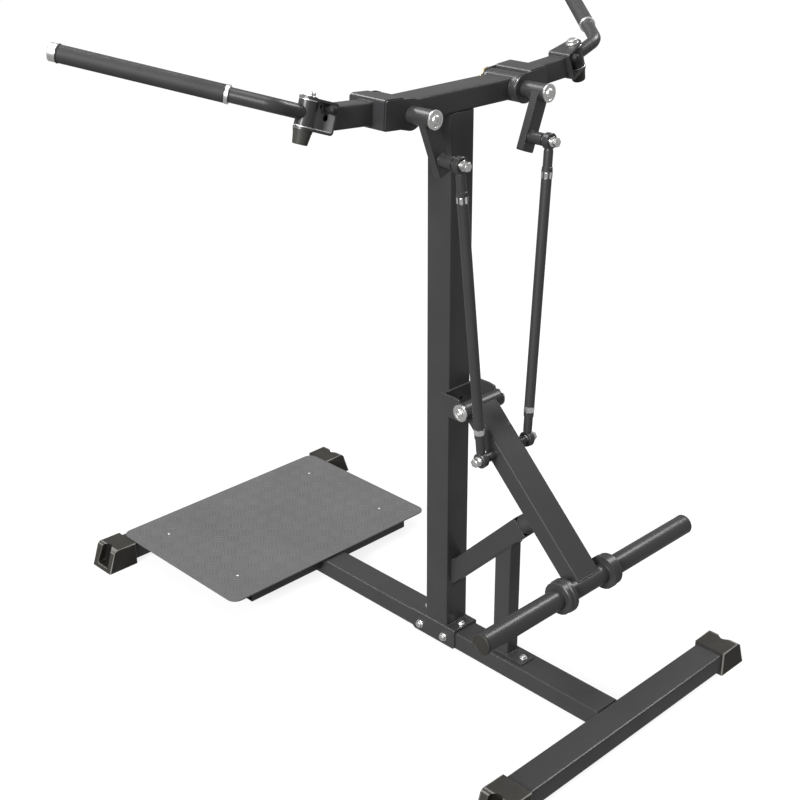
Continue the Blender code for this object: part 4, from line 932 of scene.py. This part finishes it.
# Radii of the button's recess and foot with their heights, of its dome with their drops from the top,
# and insets from the disc's rim with their heights
button = {
    "recess": ((0.0, 0.0052), (0.0030, 0.0052)),
    "dome": ((0.0033, 0.0), (0.0060, 0.0003), (0.0088, 0.0014), (0.0106, 0.0034)),
    "foot": (0.0112, 0.0030),
    "disc": (
        (0.0062, 0.0028),
        (0.0056, 0.0040),
        (0.0014, 0.0042),
        (0.0003, 0.0036),
        (0.0, 0.0026),
        (0.0, 0.0),
    ),
}


def buttonEnd(disc, high, seat):
    rows = [(radius, seat + height) for radius, height in button["recess"]]
    rows += [(radius, seat + high - drop) for radius, drop in button["dome"]]
    rows.append((button["foot"][0], seat + button["foot"][1]))
    return rows + [(disc - inset, seat + height) for inset, height in button["disc"]]


def makeShafts():
    front, end, radius, ease = -shaft["front"], -shaft["end"], shaft["radius"], shaft["ease"]
    wide, low, high = shaft["thrustR"], shaft["thrustLow"], shaft["thrustHigh"]
    rows = buttonEnd(shaft["discR"], shaft["button"], front)
    rows += [(radius, front), (radius, high), (wide - ease, high), (wide, high - ease)]
    rows += [(wide, low + ease), (wide - ease, low), (radius, low)]
    rows += [(radius, end + shaft["chamfer"]), (radius - shaft["chamfer"], end), (0.0, end)]
    for hand, side in sides:
        name = hand + "_shaft"
        shape = bmesh.new()
        latheInto(shape, rows, shaft["steps"], framePoint(side * shaft["x"], 0, shaft["z"]), -yAxis)
        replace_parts(addMesh(name + "_turned", shape, "zinc", bodyOf[name]), name)


def makePivot():
    shape = bmesh.new()
    rows = buttonEnd(pivot["discR"], pivot["button"], pivot["washerIn"])
    rows.append((pivot["radius"], pivot["washerIn"]))
    mirror = [(radius, -height) for radius, height in reversed(rows)]
    latheInto(shape, rows + mirror, pivot["steps"], framePoint(0, pivot["y"], pivot["z"]), xAxis)
    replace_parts(addMesh("pivot_bolt_turned", shape, "zinc", "frame"), "lever_pivot_bolt")


makeShafts()
makePivot()
print("stage: shafts and pivot")

# Hinges: washers at both ends of the knuckle, and a washer and bolt head on top
hinge = {
    "webX": 0.37355,
    "webY": -0.0035,
    "webZ": 1.44285,
    "lean": 19.24,
    "run": 0.0546,
    "high": 0.067,
    "flange": 0.005,
    "gap": 0.0003,
    "knuckleR": 0.0208,
    "washerIn": 0.0006,
    "washerOut": 0.0005,
    "washerThick": 0.0022,
    "headBore": 0.0078,
    "headR": 0.0168,
    "headThick": 0.0012,
    "headTurn": 0.4,
    "facing": 0.9,
    "smooth": 30,
}
hingeBolt = {"washer": 0.0140, "bore": 0.005, "head": 0.0122, "high": 0.0088, "thick": 0.0022}
lean = math.radians(hinge["lean"])
hingeOut = Vector((math.cos(lean), 0, math.sin(lean)))
hingeUp = Vector((-math.sin(lean), 0, math.cos(lean)))
hingeWeb = Vector((hinge["webX"], hinge["webY"], hinge["webZ"]))
hingeAt = hingeWeb + hingeOut * hinge["run"]


# The bracket's web takes a lighter coat where it faces the handle: painted light where the key lamp falls on
# that face
def paintWeb(bracket, out):
    bracket.data.materials.append(finishes["painted_lit_coat"])
    index = len(bracket.data.materials) - 1
    for polygon in bracket.data.polygons:
        if polygon.normal.dot(out) > hinge["facing"]:
            polygon.material_index = index


def makeHinge(hand, side):
    place = flipX(framePoint(*hingeAt), side)
    up = flipX(hingeUp, side)
    top = hinge["high"] / 2
    end = top - hinge["flange"] - hinge["gap"]
    inner, outer = hinge["knuckleR"] - hinge["washerIn"], hinge["knuckleR"] + hinge["washerOut"]
    shape = bmesh.new()
    for low, high in ((end - hinge["washerThick"], end), (-end, hinge["washerThick"] - end)):
        ringInto(shape, inner, outer, low, high, place, up)
    addMesh(hand + "_knuckle_washers", shape, "aluminium", hand + "_handle")
    shape = bmesh.new()
    ringInto(shape, hinge["headBore"], hinge["headR"], top, top + hinge["headThick"], place, up)
    # the washer under the bolt head takes the lighter coat too: painted light, as on the lit flange top
    addMesh(hand + "_hinge_head_washer", shape, "painted_lit_coat", hand + "_arm_body")
    shape = bmesh.new()
    boltInto(shape, place + up * top, up, hingeBolt, hinge["headTurn"])
    addMesh(hand + "_hinge_bolt_head", shape, "zinc", hand + "_arm_body", hinge["smooth"])
    paintWeb(skinned[hand + "_hinge_bracket"], flipX(hingeOut, side))


for hand, side in sides:
    makeHinge(hand, side)
print("stage: hinges")

# Grips: an aluminium collar at the near end and a moulded lip at the far end
handle = {
    "elbow": 0.084,
    "turn": 50.3,
    "ring": 0.1015,
    "collar": 0.0080,
    "collarBore": 0.0150,
    "collarR": 0.0196,
    "collarGap": 0.0002,
    "collarEase": 0.0006,
    "grip": 0.345,
    "gripR": 0.0188,
    "lipIn": 0.0005,
    "lipOut": 0.0012,
    "lipFrom": 0.0032,
    "lipTo": 0.0006,
    "lipEase": 0.0007,
    "steps": 44,
}
turn = math.radians(handle["turn"])
gripAxis = hingeOut * math.cos(turn) + yAxis * math.sin(turn)
elbowAt = hingeAt + hingeOut * handle["elbow"]


def makeGripRings(hand, side):
    place = flipX(framePoint(*elbowAt), side)
    way = flipX(gripAxis, side)
    start, end = handle["ring"] - handle["collar"], handle["ring"] - handle["collarGap"]
    shape = bmesh.new()
    bore, radius, steps = handle["collarBore"], handle["collarR"], handle["steps"]
    ringInto(shape, bore, radius, start, end, place, way, steps, handle["collarEase"])
    addMesh(hand + "_grip_collar", shape, "aluminium", hand + "_handle")
    far = handle["ring"] + handle["grip"]
    inner, outer = handle["gripR"] - handle["lipIn"], handle["gripR"] + handle["lipOut"]
    start, end = far - handle["lipFrom"], far - handle["lipTo"]
    shape = bmesh.new()
    ringInto(shape, inner, outer, start, end, place, way, steps, handle["lipEase"])
    addMesh(hand + "_grip_lip", shape, "grip_rubber", hand + "_handle")


for hand, side in sides:
    makeGripRings(hand, side)
print("stage: grips")

# Rod ends: a lock nut on each end of the rod, and a washer in front of each ball
rodLow = Vector((0.0809, -0.1866, 0.6187))
rodHigh = Vector((0.1454, -0.1665, 1.3313))
linkWasher = {"inner": 0.0074, "outer": 0.0117, "start": 0.0099, "end": 0.0117}
lockNut = {
    "bore": 0.0066,
    "start": 0.0692,
    "end": 0.0838,
    "hexR": 0.0137,
    "faceR": 0.0118,
    "ease": 0.001,
    "steps": 28,
}


# A hexagon between two round faces that stand out a little at its ends
def lockNutInto(shape, origin, axis):
    bore, start, end = lockNut["bore"], lockNut["start"], lockNut["end"]
    low, high = start + lockNut["ease"], end - lockNut["ease"]
    hexagon = [(bore, low), (lockNut["hexR"], low), (lockNut["hexR"], high), (bore, high)]
    latheInto(shape, hexagon, 6, origin, axis)
    barrel = [(bore, start), (lockNut["faceR"], start), (lockNut["faceR"], end), (bore, end)]
    latheInto(shape, barrel, lockNut["steps"], origin, axis)


def makeRodEnds(hand, side):
    low, high = flipX(framePoint(*rodLow), side), flipX(framePoint(*rodHigh), side)
    along = (high - low).normalized()
    for level, start, way in (("lower", low, along), ("upper", high, -along)):
        shape = bmesh.new()
        lockNutInto(shape, start, way)
        addMesh(hand + "_" + level + "_lock_nut", shape, "aluminium", hand + "_rod")
    washer = linkWasher
    pins = (("lower", low, xAxis * side, "lever"), ("upper", high, -yAxis, hand + "_rod"))
    for level, place, way, body in pins:
        shape = bmesh.new()
        ringInto(shape, washer["inner"], washer["outer"], washer["start"], washer["end"], place, way)
        addMesh(hand + "_" + level + "_pin_washer", shape, "zinc", body)


for hand, side in sides:
    makeRodEnds(hand, side)
print("stage: rod ends")

# Weld beads under the paint, one piece for each body
weld = {"small": 0.0013, "bead": 0.0017, "horn": 0.0019, "smooth": 60}
squareCorners = ((-1, -1), (1, -1), (1, 1), (-1, 1))


def rectPath(centre, across, upward, halfA, halfB):
    return [centre + across * a * halfA + upward * b * halfB for a, b in squareCorners]


def arcPath(centre, first, second, radius, start, end, steps):
    points = []
    for i in range(steps + 1):
        angle = math.radians(start + (end - start) * i / steps)
        points.append(centre + (first * math.cos(angle) + second * math.sin(angle)) * radius)
    return points


# Closed seams of the frame at the upright's foot, the post's foot and the brace's root:
# middle, second axis beside X, half sides, bead
tubeSeams = (
    ((0, 0, 0.0664), yAxis, 0.038, 0.038, "small"),
    ((0, -0.2076, 0.0642), yAxis, 0.0205, 0.0254, "bead"),
    ((0, -0.0383, 0.2216), zAxis, 0.0205, 0.0371, "bead"),
)
# The post's top is mitred under the brace: Y and height have the same sum all round
mitreSeam = {"halfX": 0.0205, "frontY": -0.233, "backY": -0.1822, "sum": 0.1465}
# Straight seams on both sides under the beam, at the bracket, the crossbars and the platform's supports:
# X, then Y and height of each end, bead
sideSeams = (
    (0.038, (-0.034, 1.4008), (0.034, 1.4008), "small"),
    (0.0386, (-0.0384, 0.686), (-0.0384, 0.737), "bead"),
    (0.038, (-0.533, 0.016), (-0.533, 0.055), "bead"),
    (0.038, (0.893, 0.016), (0.893, 0.055), "bead"),
    (0.038, (0.4545, 0.033), (0.4545, 0.058), "small"),
    (0.038, (0.4875, 0.033), (0.4875, 0.058), "small"),
)
# The beam meets each round bearing housing from this far above the shaft to this far below it
housingSeam = {"halfY": 0.038, "radius": 0.0335, "above": 0.025, "below": 0.026, "steps": 8}


def housingPath(side):
    radius = housingSeam["radius"]
    high = math.degrees(math.asin(housingSeam["above"] / radius))
    low = math.degrees(math.asin(-housingSeam["below"] / radius))
    rims = []
    for y in (-housingSeam["halfY"], housingSeam["halfY"]):
        centre = framePoint(side * shaft["x"], y, shaft["z"])
        rims.append(arcPath(centre, xAxis * -side, zAxis, radius, high, low, housingSeam["steps"]))
    return rims[0] + rims[1][::-1]


def frameWelds():
    shape = bmesh.new()
    for middle, axis, halfA, halfB, size in tubeSeams:
        beadInto(shape, rectPath(framePoint(*middle), xAxis, axis, halfA, halfB), weld[size], True)
    half, ys = mitreSeam["halfX"], (mitreSeam["frontY"], mitreSeam["backY"])
    corners = ((-half, ys[0]), (half, ys[0]), (half, ys[1]), (-half, ys[1]))
    beadInto(shape, [framePoint(x, y, mitreSeam["sum"] - y) for x, y in corners], weld["bead"], True)
    for side in (-1, 1):
        for x, start, end, size in sideSeams:
            beadInto(shape, [framePoint(side * x, *start), framePoint(side * x, *end)], weld[size])
        beadInto(shape, housingPath(side), weld["small"], True)
    addMesh("frame_welds", shape, "powder_coat", "frame", weld["smooth"])


# Places on the lever are distances down from its pivot and drops under its middle; arcs are in degrees
leverSeam = {
    "pinAt": (0.121552, 0.004031),
    "pinX": 0.0382,
    "pinR": 0.0124,
    "pinArc": (0, 345, 23),
    "hornAt": (0.486035, 0.00106),
    "hornX": 0.0384,
    "hornR": 0.0262,
    "hornArc": (-70, 70, 18),
    "collarX": {-1: 0.0722, 1: 0.0624},
    "collarR": 0.0256,
    "collarArc": (0, 350, 35),
}


def leverWelds():
    shape = bmesh.new()
    down = Vector((0, -1, -1)).normalized()
    rise = Vector((0, -1, 1)).normalized()
    start = framePoint(0, pivot["y"], pivot["z"])
    pin, horn = (start + down * run - rise * drop for run, drop in (leverSeam["pinAt"], leverSeam["hornAt"]))
    for side in (-1, 1):
        spot = pin + xAxis * side * leverSeam["pinX"]
        arc = arcPath(spot, yAxis, zAxis, leverSeam["pinR"], *leverSeam["pinArc"])
        beadInto(shape, arc, weld["small"], True)
    saddles = []
    for side in (-1, 1):
        spot = horn + xAxis * side * leverSeam["hornX"]
        saddles.append(arcPath(spot, -down, rise, leverSeam["hornR"], *leverSeam["hornArc"]))
    beadInto(shape, saddles[0] + saddles[1][::-1], weld["horn"], True)
    for side, x in leverSeam["collarX"].items():
        spot = horn + xAxis * side * x
        arc = arcPath(spot, yAxis, zAxis, leverSeam["collarR"], *leverSeam["collarArc"])
        beadInto(shape, arc, weld["small"], True)
    addMesh("lever_welds", shape, "powder_coat", "lever", weld["smooth"])


armSeam = {
    "tilt": 4.0,
    "rise": 0.0026,
    "half": 0.025,
    "rootRun": 0.0782,
    "tipGap": 0.0008,
    "crankLean": 21.2,
    "crankYs": (-0.1152, -0.0948),
    "crankR": 0.0197,
    "crankArc": (12, 168, 22),
    "pinRun": 0.1024,
    "pinR": 0.0148,
    "pinArc": (0, 345, 23),
}


# The arm's far end is cut along the hinge's leaning web
def armTipPath(shaftAt, armOut, armUp):
    path = []
    for a, b in squareCorners:
        line = shaftAt + armUp * (armSeam["rise"] + armSeam["half"] * b) + yAxis * armSeam["half"] * a
        reach = (framePoint(*hingeWeb) - line).dot(hingeOut) / armOut.dot(hingeOut) - armSeam["tipGap"]
        path.append(line + armOut * reach)
    return path


def armWelds(hand, side):
    shape = bmesh.new()
    tilt = math.radians(armSeam["tilt"])
    armOut = Vector((math.cos(tilt), 0, math.sin(tilt)))
    armUp = Vector((-math.sin(tilt), 0, math.cos(tilt)))
    crankLean = math.radians(armSeam["crankLean"])
    down = Vector((-math.sin(crankLean), 0, -math.cos(crankLean)))
    across = Vector((math.cos(crankLean), 0, -math.sin(crankLean)))
    shaftAt = framePoint(shaft["x"], 0, shaft["z"])
    root = shaftAt + armOut * armSeam["rootRun"] + armUp * armSeam["rise"]
    seams = [(rectPath(root, yAxis, armUp, armSeam["half"], armSeam["half"]), True)]
    seams.append((armTipPath(shaftAt, armOut, armUp), True))
    for y in armSeam["crankYs"]:
        arc = arcPath(shaftAt + yAxis * y, across, down, armSeam["crankR"], *armSeam["crankArc"])
        seams.append((arc, False))
    pin = shaftAt + down * armSeam["pinRun"] + yAxis * armSeam["crankYs"][0]
    seams.append((arcPath(pin, across, down, armSeam["pinR"], *armSeam["pinArc"]), True))
    for path, closed in seams:
        beadInto(shape, [flipX(point, side) for point in path], weld["small"], closed)
    addMesh(hand + "_arm_welds", shape, "powder_coat", hand + "_arm_body", weld["smooth"])


frameWelds()
leverWelds()
for hand, side in sides:
    armWelds(hand, side)
print("stage: welds")

# Floor and light
floorLook = {
    "colour": (0.14, 0.14, 0.14),
    "dark": 0.985,
    "roughness": 0.8,
    "cloudScale": 1.5,
    "cloudRange": (0.3, 0.7),
    "glow": 0.85,
    "size": 120.0,
    "cells": 8,
}


def makeFloor():
    shape = bmesh.new()
    cells = floorLook["cells"]
    bmesh.ops.create_grid(shape, x_segments=cells, y_segments=cells, size=floorLook["size"])
    mesh = bpy.data.meshes.new("floor")
    shape.to_mesh(mesh)
    shape.free()
    obj = bpy.data.objects.new("floor", mesh)
    scene.collection.objects.link(obj)
    finish = Finish("pale_floor", floorLook["colour"], floorLook["roughness"])
    tone = finish.ramp(finish.noise(floorLook["cloudScale"]), *floorLook["cloudRange"])
    dark = tuple(part * floorLook["dark"] for part in floorLook["colour"])
    base = finish.mix(tone, dark, floorLook["colour"])
    glow = {"Emission_Color": (1.0, 1.0, 1.0, 1.0), "Emission_Strength": floorLook["glow"]}
    mesh.materials.append(finish.set(Base_Color=base, Specular_IOR_Level=0.0, **glow))
    # the white floor neither mirrors in the dark coat nor lights it from below
    obj.visible_glossy = False
    obj.visible_diffuse = False


sunLook = {"way": (0.88, 0.20, -0.44), "power": 6.0, "angle": 26.0}
lightLooks = {
    "overhead": {"place": (-0.4, 0.4, 4.2), "target": (0.0, 0.0, 0.9), "size": 2.2, "power": 50.0},
    "left_edge": {"place": (-0.5, 2.7, 3.9), "target": (0.0, 0.0, 0.4), "size": 1.5, "power": 100.0},
    "right_edge": {"place": (2.9, -0.8, 3.9), "target": (0.0, -0.4, 0.3), "size": 1.5, "power": 100.0},
}
skyStrength = 0.36


def aimLight(obj, way):
    scene.collection.objects.link(obj)
    obj.rotation_euler = way.to_track_quat("-Z", "Y").to_euler()


def makeLights():
    data = bpy.data.lights.new("key", "SUN")
    data.energy = sunLook["power"]
    data.angle = math.radians(sunLook["angle"])
    aimLight(bpy.data.objects.new("key", data), Vector(sunLook["way"]))
    for name, look in lightLooks.items():
        data = bpy.data.lights.new(name, "AREA")
        data.shape = "SQUARE"
        data.size = look["size"]
        data.energy = look["power"]
        obj = bpy.data.objects.new(name, data)
        obj.location = Vector(look["place"])
        aimLight(obj, Vector(look["target"]) - Vector(look["place"]))
    world = bpy.data.worlds.new("studio")
    scene.world = world
    world.use_nodes = True
    sky = world.node_tree.nodes["Background"]
    sky.inputs["Color"].default_value = (1.0, 1.0, 1.0, 1.0)
    sky.inputs["Strength"].default_value = skyStrength


makeFloor()
makeLights()
scene.view_settings.view_transform = "Standard"
print("stage: floor and lights")
